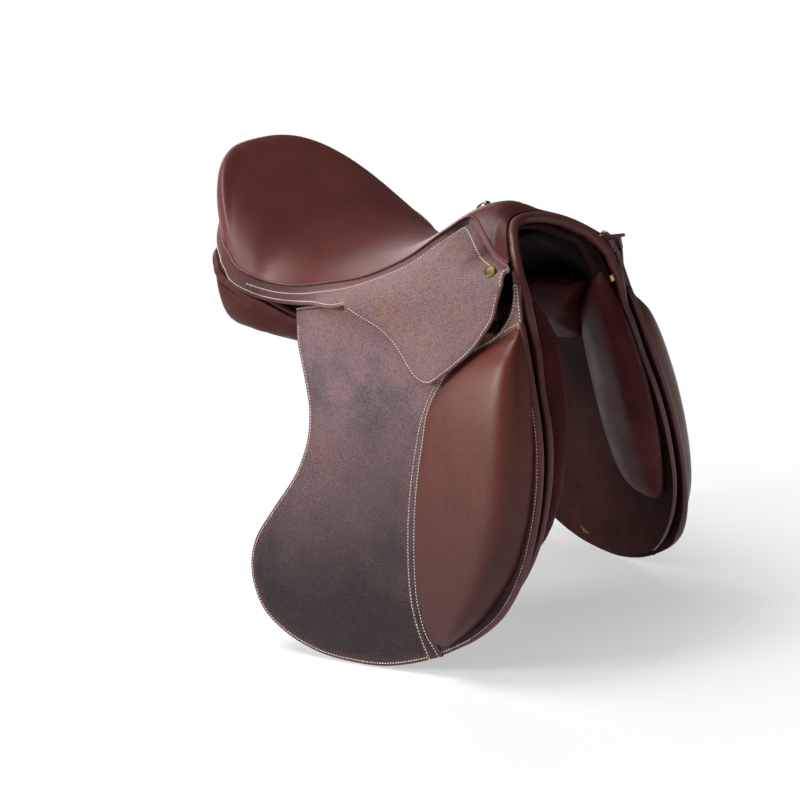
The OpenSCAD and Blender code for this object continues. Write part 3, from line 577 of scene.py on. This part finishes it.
def stitches(name, path, normal, body, mirror, pitch=3.3, long=2.3):
    """A row of separate stitches along a path with surface normals."""
    path, normal = np.asarray(path, float), np.asarray(normal, float)
    both = along(join([path, normal * 1e-6], 1), pitch)
    pts, nor = both[:, :3], both[:, 3:] * 1e6
    tan = np.gradient(pts, axis=0)
    verts, faces = [], []
    ca, sa = math.cos(STITCH_SLANT), math.sin(STITCH_SLANT)
    for c, n, t in zip(pts, nor, tan):
        n = unit(n)
        t = unit(t - (t @ n) * n)
        b = np.cross(n, t)
        t, b = ca * t + sa * b, ca * b - sa * t
        base = len(verts)
        for k, r in STITCH_AT:
            dip = STITCH_DIP * (2 * k) ** 2
            for j in range(STITCH_SIDES):
                a = j * 2 * math.pi / STITCH_SIDES
                verts.append(c + t * k * long + (b * math.cos(a) + n * math.sin(a)) * r * STITCH_R
                             + n * (STITCH_UP - dip))
        last = len(verts) - STITCH_SIDES
        for i in range(base, last, STITCH_SIDES):
            faces += bridge(i, i + STITCH_SIDES, STITCH_SIDES)
        faces += [tuple(range(base, base + STITCH_SIDES))[::-1], tuple(range(last, len(verts)))]
    return piece(name, verts, [f[::-1] for f in faces], thread, body, mirror=mirror)


# Padded pieces swell a little under pressure, as stuffed leather does
FRAMES = 14


def coords(me):
    co = np.empty(len(me.vertices) * 3)
    me.vertices.foreach_get("co", co)
    return co.reshape(-1, 3)


def inflate(o, voxel, press, most):
    """Cloth under pressure, with each point's travel capped, kept on the piece's own mesh."""
    mat = o.data.materials[0]
    re = o.modifiers.new("remesh", "REMESH")
    re.mode, re.voxel_size, re.use_smooth_shade = "VOXEL", voxel * MM, True
    dg = bpy.context.evaluated_depsgraph_get()
    me = bpy.data.meshes.new_from_object(o.evaluated_get(dg))
    o.modifiers.clear()
    work = bpy.data.objects.new("work", me)
    scene.collection.objects.link(work)
    before = coords(me)
    cloth = work.modifiers.new("cloth", "CLOTH")
    st = cloth.settings
    st.quality, st.mass, st.use_pressure, st.uniform_pressure_force = 5, 0.3, True, press
    st.tension_stiffness = st.compression_stiffness = 18
    st.bending_stiffness = 2
    st.effector_weights.gravity = 0
    cloth.point_cache.frame_start, cloth.point_cache.frame_end = 1, FRAMES
    for k in range(1, FRAMES + 1):
        scene.frame_set(k)
    dg = bpy.context.evaluated_depsgraph_get()
    grown = bpy.data.meshes.new_from_object(work.evaluated_get(dg))
    d = coords(grown) - before
    far = np.linalg.norm(d, axis=1)[:, None]
    after = before + d * np.minimum(1, most * MM / np.maximum(far, 1e-9))
    bpy.data.objects.remove(work)
    scene.frame_set(1)
    grown.vertices.foreach_set("co", after.ravel())
    grown.materials.clear()
    grown.materials.append(mat)
    grown.polygons.foreach_set("use_smooth", [True] * len(grown.polygons))
    o.data = grown
    s = o.modifiers.new("smooth", "SUBSURF")
    s.levels = s.render_levels = 1


def on_side(row, w):
    """Points and normals of a row on the side plane."""
    return [side(a, b, w) for a, b in row], [EW] * len(row)


def on_skirt(row):
    """Points and normals of a row on the skirt."""
    return [skirt(p, t) for p, t in row], [skirt_n(p, t) for p, t in row]


def across(half):
    """A line from the middle to the right, carried over to the left."""
    return join([half[:0:-1] * (1, -1, 1), half])


# Seat: smooth cover from the rear seam over the cantle to the arch
S_ROWS = np.unique(join([np.linspace(0, 4, 41), np.linspace(4, 10, 37), np.linspace(10, LAST, 41)]))
half_v = 1 - (1 - np.linspace(0, 1, 33)) ** 1.25
V_COLS = join([-half_v[:0:-1], half_v])
COVER_T = 2.2
outer = np.array([[seat(s, v) for v in V_COLS] for s in S_ROWS])
nor = np.array([[seat_n(s, v) for v in V_COLS] for s in S_ROWS])
v, f = strip_sheet(outer, outer - COVER_T * nor)
# Painted shade on the seat's front, growing towards the pommel
painted_pommel_shade = [0.75 * ease((x - 125) / 45) for x in outer.reshape(-1, 3)[:, 0]]
seat_cover = piece("seat", v, f, calf, "saddle", SMOOTH, painted_shade=painted_pommel_shade * 2, stands_for=("seat_cover",))

# Seam cord round the seat
CORD_DOWN, CORD_GIVE, CORD_OUT, CORD_R = 1.2, 0.3, 0.4, 1.25
P_FINE = join([np.linspace(-1, -0.02, 40), np.linspace(0, 4, 41), np.linspace(4.08, LAST, 100)])
line = [rim(p) + (CORD_DOWN + CORD_GIVE * (gap_at(p) - SEAM_GAP)) * seam_dir(p) + CORD_OUT * outw(rim(p))
        for p in P_FINE]
v, f = tube(across(ease_corner(line, P_FINE)), CORD_R, 10)
cover("seat_welt", "", v, f, rim_calf, "saddle", SMOOTH)

# Row of stitching on the skirts: row number of the seat and share of the depth
SKIRT_ROW = [[4.05, 0.37], [4.67, 0.31], [5.38, 0.32], [6.02, 0.3], [6.69, 0.29], [7.22, 0.24], [7.62, 0.19],
             [8.02, 0.16], [8.35, 0.16], [8.92, 0.14], [9.6, 0.11], [10.05, 0.08], [10.45, 0.07], [10.9, 0.07],
             [11.25, 0.07], [11.55, 0.088], [11.92, 0.112], [12.7, 0.15], [13.18, 0.175], [13.42, 0.213]]
# Outlines in the side plane: slot for the stirrup leather, strip behind the block, web and pocket
SLOT = [[239.5, fold(239.5)], [239.5, 58], [236, 44], [227, 30], [212, 16], [197, 7], [180, 1], [150, 0], [122, 6],
        [108, 18], [104, 32], [104, fold(104)]]
HEEL_OUT = [[239.5, 71], [239.5, 58], [236, 44], [227, 30], [212, 16.5], [197, 8], [180, -2], [160, -15.5],
            [143, -35], [131, -62], [124, -90], [117.5, -126], [113.5, -164], [112.5, -204], [115, -242], [121, -268],
            [129, -288], [137, -303.5]]
HEEL_IN = [[246, 71], [248, 52], [249.6, 38], [246, 33], [234, 27], [213, 14.5], [190, 2.5], [169, -13], [155, -31],
           [142, -55], [136, -84], [129, -123], [125, -163], [124, -204], [126, -240], [131, -262], [137, -278],
           [146, -290], [152, -298]]
WEB = [[26, 57], [26, 51], [24, 51], [24, 30], [46, 30], [46, 50], [59, 50], [59, 30], [81, 30], [81, 50], [94, 50],
       [94, 30], [116, 30], [116, 51], [114, 51], [114, 57]]
STRAP_U, STRAP_W, STRAP_TOP, STRAP_LOW = (("front", 105), ("middle", 70), ("rear", 35)), 25, 52, -298
STRAP_BACK, STRAP_FACE, WEB_BACK, WEB_FACE, STRIP_FACE = -10.2, -6.2, -5.85, -4.35, 1.3
HOLES, HOLE_PITCH, HOLE_UP, HOLE_R = 10, 22, 26, 2.5
GUARD_LOW, GUARD_TOP, GUARD_U, GUARD_W = -80, -20, 70, -9.5
HEAD_R, FOOT_R, STITCH_INSET, LONG_STITCH = 1.7, 1.2, 3.0, (4.2, 3.0)
POCKET = np.array([[157, -8], [221, -8], [214, -50], [192, -62], [168, -50]], float)


def lie(u, w):
    """How far the small flap bends towards the flap at its rear and lower edge."""
    return -6.2 * ease((fold(u) - w) / 42) * max(0, min(1, (165 - u) / 60))


def panel_y(x, yo, z):
    """Half width of the panel: as its row says, or out to the front roll's plane."""
    far = SIDE_Y - x * math.tan(TOE) - (math.tan(SPLAY) * z - (ROLL_W - LAY) / math.cos(SPLAY)) / math.cos(TOE)
    return yo if yo > 0 else far


def on_fold(u, w):
    """Whether a point lies on the fold, where the edge stays square."""
    return abs(w - fold(u)) < 0.7


# The pieces of one side, drawn on the right and mirrored by flip
def make_skirt(hand, flip):
    """Fixed upper part with its band round the cantle, its edges rolled; shade is painted on the band."""
    ps = join([np.linspace(-1, -0.02, 34), np.linspace(0, 4, 33), np.linspace(4.08, LAST, 95),
               np.linspace(LAST + 0.1, LAST + 1, 10)])
    ts = np.linspace(0, 1, 17)
    face, back, tint, painted_shade = [], [], [], []
    for p in ps:
        pts = np.array([skirt(p, t) for t in ts])
        n = np.array([skirt_n(p, t) for t in ts])
        down = unit(pts[-1] - pts[-2])
        free = 1 - ease((pts[-1][0] - FOLD_U0 * EU[0] + 12) / 12)
        a, b = HEAD_R, FOOT_R * free
        turn = [math.radians(k) for k in (0, 30, 60)]
        up = -seam_dir(min(p, LAST))
        reach = (2 * (WELT_R + gap_at(p)) - 3.6) * (1 if p <= LAST else LAST + 1 - p)
        head = [pts[0] + up * (reach + a * math.cos(k)) - n[0] * a * (1 - math.sin(k)) for k in turn]
        foot = [pts[-1] + down * b * math.cos(k) - n[-1] * b * (1 - math.sin(k)) for k in turn[::-1]]
        face.append(head + list(pts) + foot)
        inner = pts - SKIRT_T * n
        back.append([inner[0]] * 3 + list(inner) + [inner[-1]] * 3)
        depth = np.linalg.norm(np.array(face[-1]) - pts[0], axis=1)
        end = np.linalg.norm(np.array(face[-1]) - pts[-1], axis=1)
        # Painted shade on the band round the cantle: it takes the edge colour and the shade colour, fading out forwards
        band = 0.9 * (1 - ease((pts[-1][0] + 65) / 90))
        painted_shade.append([band] * len(face[-1]))
        edges = np.maximum(0.8 * np.clip(1 - depth / 9, 0, 1), 0.55 * free * np.clip(1 - end / 7, 0, 1))
        tint.append(np.maximum(band, edges))
    v, f = strip_sheet(ease_corner(back, ps), ease_corner(face, ps))
    tint, painted_shade = np.tile(np.ravel(tint), 2), np.tile(np.ravel(painted_shade), 2)
    cover("skirt_" + hand, "_hide", v, f, grain, "saddle", GRAINED, flip, tint, painted_shade)
    stitches("skirt_stitches_" + hand, *on_skirt(curve(SKIRT_ROW, 8)), "saddle", flip)
    row = []
    for p in np.linspace(-0.98, 9, 260):
        low, near = skirt(p, 1), skirt(p, 0.5)
        t = 1 - 0.5 * STITCH_INSET / np.linalg.norm(low - near)
        if low[0] < FOLD_U0 * EU[0] + 2:
            row.append((p, t))
    stitches("band_stitches_" + hand, *on_skirt(row), "saddle", flip)
    row = [(14.82, t) for t in np.linspace(0.98, 0.1, 12)]
    stitches("skirt_front_stitches_" + hand, *on_skirt(row), "saddle", flip)


def make_small_flap(hand, flip):
    """Lifting flap over the stirrup bar, its rear edge lying closer to the flap."""
    body = "skirt_flap_" + hand
    edge = curve(SKIRT_EDGE, 6)
    outline = join([[[FOLD_U0 + LAY, fold(FOLD_U0)], [CORNER_U, fold(CORNER_U)]], edge, [[FOLD_U0 + LAY, 42.5]]])
    v, f, tint = plate(outline, SKIRT_ROOM, SKIRT_W, 1.1, 2.5, 7.0, lie, 7, square=on_fold)
    cover(body, "_hide", v, f, grain, body, GRAINED, flip, tint * 0.55, lining=shaded_inner_hide)
    row = along(join([[[231.5, 61]], edge, [[53, 42.5]]]), 3)
    row = row + normals2(row, False) * 2.6
    path = [side(a, b, SKIRT_W + lie(a, b)) for a, b in row]
    stitches("skirt_flap_stitches_" + hand, path, [EW] * len(row), body, flip)


def make_flap(hand, flip):
    """Hanging hide with the slot for the stirrup leather at its top, and the fixed head above it."""
    body = "flap_" + hand
    outline = join([[[246.5, fold(246)], [247.5, 52]], curve(FLAP_FRONT, 5), [[-23, fold(-23)]], SLOT[::-1]])
    v, f, tint = plate(outline, -FLAP_T, 0, 1.4, 3.5, 9.0, fade=9)
    cover(body, "_hide", v, f, grain, body, GRAINED, flip, tint * 0.5, lining=shaded_inner_hide)
    rear = along(curve(FLAP_FRONT, 6)[50:], 3)
    rear = rear + normals2(rear, False) * STITCH_INSET
    stitches("flap_stitches_" + hand, *on_side(rear, 0), body, flip)
    head = [[-23, fold(-23) + 0.5], [-23, fold(-23) + 3], [25, fold(25) + 4], [60, fold(60) + 8],
            [214, fold(214) + 8], [218, fold(218) + 4], [218, fold(218) + 0.5]]
    v, f, tint = plate(head, -FLAP_T, 0, 1.0, 3.0, 5.0)
    cover("flap_head_" + hand, "_hide", v, f, grain, "saddle", GRAINED, flip, tint * 0.4)


def make_strip(hand, flip):
    """Strip round the block's rear edge with its rows, and the binding of the flap's front edge."""
    body = "flap_" + hand
    outer_row, inner_row = along(curve(HEEL_OUT, 6), 3), along(curve(HEEL_IN[3:], 6), 3)
    outline = join([curve(HEEL_OUT, 5), join([HEEL_IN[:3], curve(HEEL_IN[3:], 5)])[::-1] + (4, 0)])
    outline[-3:, 0] -= 4
    v, f, tint = plate(outline, -0.5, STRIP_FACE, 0.7, 3.0, 6.0, fade=5)
    piece("block_strip_" + hand, v, f, grain, body, GRAINED, flip, tint * 0.5)
    outer_row = outer_row - normals2(outer_row, False) * 2.2
    stitches("strip_stitches_outer_" + hand, *on_side(outer_row, STRIP_FACE), body, flip)
    inner_row = inner_row + normals2(inner_row, False) * 2.0
    stitches("strip_stitches_inner_" + hand, *on_side(inner_row, STRIP_FACE), body, flip)
    up_row = along(np.array(HEEL_IN[:3], float) + (-1.8, 0), 3)
    stitches("strip_stitches_front_" + hand, *on_side(up_row, STRIP_FACE), body, flip)
    tip = [[240, fold(240) + 0.6], [239.6, 76.5], [238.4, 84], [240.2, 84], [243.5, 76.5], [245.6, fold(245) + 0.6]]
    v, f, tint = plate(tip, -FLAP_T, STRIP_FACE, 0.5, 1.2, 1.4, fade=5)
    piece("strip_tip_" + hand, v, f, grain, "saddle", GRAINED, flip, tint * 0.5)
    front = along(curve(FLAP_FRONT, 6)[:53], 4)
    inward = normals2(front, False)
    thick = 3.5 - 2.2 * np.clip((np.arange(len(front)) - len(front) + 16) / 16, 0, 1)
    v, f = tube([side(a, b, -1.2) for a, b in front + inward * 1.4], thick, 14, [EW] * len(front), 0.95)
    piece("flap_binding_" + hand, v, f, bind_calf, body, SMOOTH, flip)
    stitches("binding_stitches_" + hand, *on_side(front + inward * 3.2, 1.6), body, flip)


def make_block(hand, flip):
    """Knee block on the flap's outer face."""
    prof, rings = curve(PROFILE, 4), []
    for b in curve(BLOCK, 4):
        top = [side(lerp(b[1], b[2], q[0]), b[0], LAY + q[1] * BLOCK_H * b[3]) for q in prof]
        rings.append(top + [side(b[2], b[0], LAY), side(lerp(b[1], b[2], 0.5), b[0], LAY), side(b[1], b[0], LAY)])
    v, f = loft(rings)
    knee = cover("knee_block_" + hand, "_pad", v, f, block_calf, "flap_" + hand, SMOOTH, flip)


def make_panels(hand, flip):
    """Sweat flap, front roll and panel."""
    outline = join([[[12, 44], [228, 40]], curve(SWEAT_EDGE, 5)])
    v, f, _ = plate(outline, SWEAT_W - SWEAT_T, SWEAT_W, 1.0, 5.0, 16.0)
    cover("sweat_flap_" + hand, "_hide", v, f, shaded_inner_hide, "saddle", GRAINED, flip)
    rnd = curve(join([ROUND, ROUND[:1]]), 3)[:-1]
    rings = [[side(lerp(b[1], b[2], r[0]), b[0], ROLL_W - r[1] * FRONT_T * b[3]) for r in rnd[::-1]]
             for b in curve(FRONT, 4)]
    v, f = loft(rings, 3)
    roll = cover("front_roll_" + hand, "_pad", v, f, panel_calf, "saddle", SMOOTH, flip)
    inflate(roll, 4.5, 3, 2.5)
    ring = curve(join([EDGE, EDGE[:1]]), 3)[:-1]
    keys = []
    for b in PANEL:
        zs = [lerp(lerp(b[2], b[3], e[0]), lerp(b[4], b[5], e[0]), e[1]) for e in ring]
        keys.append([[b[0], -lerp(GULLET_W, panel_y(b[0], b[1], z), e[0]), z] for e, z in zip(ring, zs)])
    keys = np.array(keys)
    v, f = loft(list(curve(keys.reshape(len(keys), -1), 4).reshape(-1, len(ring), 3)), 5)
    pad = cover("panel_" + hand, "_pad", v, f, panel_calf, "saddle", SMOOTH, flip)
    inflate(pad, 5, 3, 3.5)
    for k, (drop, inset, r) in enumerate(((1, 3, 4.2), (-3.5, 10, 3.6))):
        line = [[b[0], -b[1] + inset, b[3] - drop] for b in PANEL[:8] if b[1]] + [[-5, -116 + inset, 20 - drop]]
        v, f = tube(curve(line, 8), r, 12)
        piece("panel_fold_%d_%s" % (k + 1, hand), v, f, panel_calf, "saddle", SMOOTH, flip)


def make_girthing(hand, flip):
    """What lies under the flap: straps, their web, the buckle guard and the point's pocket."""
    body, guard = "girth_straps_" + hand, "buckle_guard_" + hand
    for k, u in STRAP_U:
        a = STRAP_W / 2
        outline = [[u - a, STRAP_TOP], [u - a, STRAP_LOW + 18], [u - 6, STRAP_LOW], [u + 6, STRAP_LOW],
                   [u + a, STRAP_LOW + 18], [u + a, STRAP_TOP]]
        holes = [(u, STRAP_LOW + HOLE_UP + HOLE_PITCH * i, HOLE_R) for i in range(HOLES)]
        v, f, _ = plate(outline, STRAP_BACK, STRAP_FACE, 1.2, 4.0, 8.0, fade=4, holes=holes)
        strap = "girth_strap_%s_%s" % (k, hand)
        cover(strap, "_hide", v, f, strap_hide, body, SMOOTH, flip)
        sew = np.array([[u - a + 3, 46], [u - a + 3, STRAP_LOW + 20], [u - 4, STRAP_LOW + 4], [u + 4, STRAP_LOW + 4],
                        [u + a - 3, STRAP_LOW + 20], [u + a - 3, 46]])
        stitches(strap + "_stitches", *on_side(along(sew, 4), STRAP_FACE), body, flip, *LONG_STITCH)
    v, f, _ = plate(WEB, WEB_BACK, WEB_FACE, 0.5, 2.0, 5.0)
    cover("girth_web_" + hand, "_band", v, f, webbing, "saddle", "webbing", flip)
    sleeve = []
    for u0, u1, w0, w1, r in ((17.5, 122.5, -14.65, WEB_FACE, 2.2), (20.2, 119.8, -10.6, -5.8, 0.4)):
        loop = []
        for cu, cw, a0 in ((u1 - r, w1 - r, 0), (u0 + r, w1 - r, 90), (u0 + r, w0 + r, 180), (u1 - r, w0 + r, 270)):
            turn = [math.radians(a0 + d) for d in (0, 30, 60, 90)]
            loop += [(cu + r * math.cos(k), cw + r * math.sin(k)) for k in turn]
        sleeve.append(loop)
    m, v, f = len(sleeve[0]), [], []
    stops = ((GUARD_LOW, 0.6), (-79.2, 0.15), (-78, 0), (-22, 0), (-20.8, 0.15), (GUARD_TOP, 0.6))
    for h, tuck in stops:
        for u, w in sleeve[0]:
            v.append(side(lerp(GUARD_U, u, 1 - tuck / 60), h, lerp(GUARD_W, w, 1 - tuck / 5)))
    for h in (GUARD_LOW, GUARD_TOP):
        v += [side(u, h, w) for u, w in sleeve[1]]
    n = len(stops)
    for i in range(n - 1):
        f += bridge(i * m, (i + 1) * m, m, True)
    a, b = n * m, (n + 1) * m
    f += bridge(a, b, m) + bridge(0, a, m) + bridge(a - m, b, m, True)
    cover(guard, "_hide", v, f, strap_hide, guard, SMOOTH, flip)
    for k, u in (("front", 87.5), ("rear", 52.5)):
        stitches("buckle_guard_stitches_%s_%s" % (k, hand), *on_side(along([[u, -23], [u, -77]], 4), WEB_FACE),
                 guard, flip, *LONG_STITCH)
    ends = along(join([POCKET[1:], POCKET[:1]]), 2.0)

    def dome(u, w):
        d = np.min(np.hypot(ends[:, 0] - u, ends[:, 1] - w))
        return -6.0 * (1 - ease(d / 7))
    v, f, _ = plate(POCKET, -8.3, -6.8, 0.6, 2.5, 5.0, dome)
    cover("point_pocket_" + hand, "_hide", v, f, shaded_inner_hide, "saddle", GRAINED, flip)


for hand, flip in (("right", False), ("left", True)):
    for make in (make_skirt, make_small_flap, make_flap, make_strip, make_block, make_panels, make_girthing):
        make(hand, flip)


# Arch roll, running on down the sweat flaps' front edges
def arch_edge(a):
    return seat(LAST, -a)


def arch_point(a, back=0.0, drop=0.0):
    """Middle of the roll round the arch, or of a line behind and below it."""
    t = unit(arch_edge(min(1, a + 0.05)) - arch_edge(max(-1, a - 0.05)))
    d = np.array([0.6, -0.014 * arch_edge(a)[1], -0.8])
    down = unit(np.array([0, -arch_edge(a)[1] * 0.9, -60]))
    off = ROLL_R + 5 * LAY + 1.6 * ease((a - 0.5) / 0.3)
    return arch_edge(a) + off * unit(d - (d @ t) * t) + drop * down - np.array([back, 0, 0])


ARCH_A = (0, 0.2, 0.4, 0.6, 0.78, 0.92)
ARCH_LOW = ((241, 77), (246, 63), (250, 47))
low_pts = [side(u, w, -FLAP_T - ROLL_R - 2 * LAY) for u, w in ARCH_LOW]
ridge = [side(u - 2, w, -14.6) for u, w in ((256, 22), (260, 4), (264, -29), (271, -67), (272, -105), (267, -144),
                                            (258, -179), (240, -215), (212, -250), (184, -274))]
half = curve([arch_point(a) for a in ARCH_A] + low_pts + ridge, 8)
size = np.interp(np.arange(len(half)), [0, 56, 72, 96, len(half) - 1], [ROLL_R, 5.2, 4.2, 3.4, 3.0])
v, f = tube(across(half), join([size[:0:-1], size]), 16)
arch = cover("arch_roll", "_pad", v, f, bind_calf, "saddle", SMOOTH)
inner_low = [side(u - 12, w, -25) for u, w in ARCH_LOW]
half = curve([arch_point(a, 9, 9) for a in ARCH_A] + inner_low, 8)
v, f = tube(across(half), 4.4, 12)
arch2 = piece("arch_fold_pad", v, f, dark_calf, "saddle", SMOOTH)

# Lining: from the arch back along the channel between the panels, x and then half widths and heights
CHANNEL = (0, 20, 28, 34, 40, 44, 46)
LINING = [
    (180, (0, 16, 28, 37, 46, 55, 61), (100, 97, 88, 79, 69, 58, 48)),
    (160, (0, 20, 32, 42, 50, 56, 59), (90, 88, 84, 76, 67, 57, 48)),
    (140, (0, 18, 30, 40, 46, 50, 52), (87, 83, 79, 73, 65, 56, 48)),
    (120, (0, 18, 28, 36, 42, 46, 48), (83, 80, 73, 66, 58, 51, 47)),
    (100, (0, 18, 28, 35, 40, 44, 46), (77, 74, 66, 58, 51, 46, 44)),
    (80, (0, 20, 29, 35, 40, 44, 46), (72, 68, 60, 54, 48, 43, 41)), (40, CHANNEL, (57, 54, 47, 43, 40, 38, 37)),
    (0, CHANNEL, (53, 51, 45, 41, 39, 37, 36)), (-40, CHANNEL, (55, 52, 47, 43, 42, 41, 40)),
    (-80, CHANNEL, (59, 57, 51, 48, 47, 46, 45)), (-120, CHANNEL, (71, 69, 63, 60, 59, 58, 57)),
    (-155, CHANNEL, (87, 85, 80, 77, 75, 74, 73)), (-182, CHANNEL, (97, 95, 91, 88, 86, 85, 84)),
    (-212, CHANNEL, (108, 106, 101, 97, 94, 92, 90)),
    (-232, (0, 20, 32, 44, 56, 64, 70), (122, 120, 117, 112, 106, 101, 96))]


LINING_N = 20


def even(line):
    """The same number of even steps along any line."""
    line = curve(line, 6)
    return along(line, np.sum(np.linalg.norm(np.diff(line, axis=0), axis=1)) / LINING_N)[: LINING_N + 1]


stations = [even([arch_point(a, 2, 3) for a in ARCH_A] + [side(u - 4, w, -17) for u, w in ARCH_LOW]),
            even([arch_point(a, 12, 14) for a in ARCH_A] + [side(u - 14, w, -30) for u, w in ARCH_LOW])]
stations += [even([[x, -y, z] for y, z in zip(ys, zs)]) for x, ys, zs in LINING]
stations = np.array(stations)
fine = curve(stations.reshape(len(stations), -1), 4).reshape(-1, LINING_N + 1, 3)
grid = join([fine[:, :0:-1] * (1, -1, 1), fine], 1)
v, f = strip_sheet(grid + (0, 0, 0.9), grid)
# The lining's near-black colour is painted shade
cover("gullet_lining", "_hide", v, f, painted_shade_hide, "saddle", SMOOTH)

# Painted shade: a near-black sheet that closes the space between the band and the panels behind
top, low = [], []
for p in np.linspace(-1, 7.4, 90):
    e, o = skirt(p, 0.55), outw(skirt(p, 0.55))
    depth = 30 + 12 * ease((p - 3) / 3)
    top.append(e - 7 * o)
    low.append(e - (20 + 6 * ease(p / 3)) * o - np.array([0, 0, depth]))
grid = across(np.array([[lerp(a, b, k / 6) for k in range(7)] for a, b in zip(top, low)]))
n = np.array([[outw(q * (1, -1 if q[1] > 0 else 1, 1)) for q in r] for r in grid])
n[..., 1] *= np.where(grid[..., 1] > 0, -1, 1)
v, f = strip_sheet(grid, grid - 1.2 * n)
piece("rear_shade_sheet", v, f, painted_shade_hide, "saddle", SMOOTH)

# Studs and the small plate on the pommel
STUD_AT, STUD_SIDES = (13.74, 0.45), 32
STUD_RIM = [(0.8, -0.6), (6, -0.6), (6.4, 0.4), (6.4, 1.3), (6.1, 1.9), (5.6, 2.1), (5.2, 1.9), (4.9, 1.5)]
STUD_FACE = [(5.1, 0.9), (4.9, 1.55), (3.4, 1.75), (1.8, 1.9), (0.4, 1.95)]


def studs(prof):
    """Turned form, from radius and height along its axis, on both sides."""
    n = unit(skirt_n(*STUD_AT) + EW)
    c = skirt(*STUD_AT) + n * 0.9
    a = unit(np.cross(n, [0.3, 0.5, 0.9]))
    b = np.cross(n, a)
    turn = [k * 2 * math.pi / STUD_SIDES for k in range(STUD_SIDES)]
    v, f = loft([[c + n * h + r * (a * math.cos(k) + b * math.sin(k)) for k in turn] for r, h in prof])
    return join([v, v * (1, -1, 1)]), f + [tuple(len(v) + i for i in g[::-1]) for g in f]


piece("saddle_stud_rims", *studs(STUD_RIM), rim_brass, "saddle", "brass", stands_for=("saddle_studs",))
piece("saddle_stud_faces", *studs(STUD_FACE), brass, "saddle", "brass")
rows = []
for i, s in enumerate(np.linspace(9.66, 10.3, 13)):
    a = abs(i - 6) / 6
    wide = 0.085 * math.sqrt(max(0.02, 1 - a ** 4))
    high = 3.6 * math.sqrt(max(0.0, 1 - a ** 3))
    rows.append([seat(s, wide * k / 5) + seat_n(s, 0) * (0.3 + high * math.sqrt(max(0, 1 - abs(k / 5) ** 3)))
                 for k in range(-5, 6)])
rows = np.array(rows)
v, f = strip_sheet(rows - seat_n(10, 0) * 0.25, rows)
cover("pommel_plate", "_cap", v, f, pewter, "saddle", "brass")


# Carried-over solids
def pair(name):
    return [name + "_left", name + "_right"]


for names, mat in ((["tree_head", "tree_cantle"] + pair("tree_rail") + pair("tree_point"), beech),
                   (pair("tree_spring") + ["gullet_plate", "bar_rivets"], steel),
                   (["seat_webs"], webbing), (["seat_foam"], foam),
                   (pair("stirrup_bar") + pair("safety_catch"), bright)):
    for k in names:
        nodes[k].data.materials.clear()
        nodes[k].data.materials.append(mat)

# Floor and light
FLOOR_Z, FLOOR_HALF = float(CAD_BOX[0][2]) - 0.001, 30
me = bpy.data.meshes.new("floor")
corners = ((-1, -1), (1, -1), (1, 1), (-1, 1))
me.from_pydata([(x * FLOOR_HALF, y * FLOOR_HALF, FLOOR_Z) for x, y in corners], [], [(0, 1, 2, 3)])
floor = bpy.data.objects.new("floor", me)
scene.collection.objects.link(floor)
fm, nt, b = material("floor_paint")
fill(nt, b, i_Base_Color=(0.93, 0.93, 0.93, 1), i_Roughness=0.9, i_Specular_IOR_Level=0.1)
dist = add(nt, "VectorMath", operation="LENGTH", i_0=add(nt, "TexCoord").outputs["Object"]).outputs["Value"]
rays = add(nt, "LightPath").outputs
also = maths(nt, "MAXIMUM", rays["Is Glossy Ray"], rays["Is Transmission Ray"])
seen = maths(nt, "MAXIMUM", rays["Is Camera Ray"], also)
away = add(nt, "MapRange", interpolation_type="SMOOTHSTEP", i_0=dist, i_1=0.25, i_2=0.75, i_3=0.35, i_4=1.0).outputs[0]
glow = add(nt, "Emission", i_Strength=1.0, i_Color=(*WHITE, 1)).outputs[0]
paint = add(nt, "MixShader", i_0=maths(nt, "MULTIPLY", seen, away), i_1=b.outputs[0], i_2=glow).outputs[0]
fill(nt, nt.nodes["Material Output"], i_Surface=paint)
me.materials.append(fm)

WARM = (1, 0.985, 0.96)


def lamp(name, where, to, size, watts, tone=WHITE):
    d = bpy.data.lights.new(name, "AREA")
    d.shape, d.size, d.energy, d.color = "DISK", size, watts, tone
    o = bpy.data.objects.new(name, d)
    z = unit(np.array(where, float) - np.array(to, float))
    x = unit(np.cross([0.01, 0.02, 1], z))
    y = np.cross(z, x)
    o.matrix_world = Matrix([[x[i], y[i], z[i], where[i]] for i in range(3)] + [[0, 0, 0, 1]])
    scene.collection.objects.link(o)


lamp("key", (-1.2, -2.05, 0.85), (0, -0.1, -0.02), 0.8, 46, WARM)
lamp("top", (-0.7, -0.6, 2.1), (0, 0, 0.05), 1.2, 48, WARM)
lamp("fill", (2.2, -1.6, 0.8), (0.05, -0.1, -0.05), 1.6, 4)
lamp("back", (-2.1, 1.0, 0.75), (0, 0, 0), 1.2, 16)
world = bpy.data.worlds.new("studio")
scene.world = world
world.use_nodes = True
nt = world.node_tree
rays = add(nt, "LightPath").outputs
seen = maths(nt, "MAXIMUM", rays["Is Camera Ray"], rays["Is Transmission Ray"])
fill(nt, nt.nodes["Background"], i_Strength=spread(nt, seen, 0, 1, 0.1, 1.0), i_Color=(*WHITE, 1))
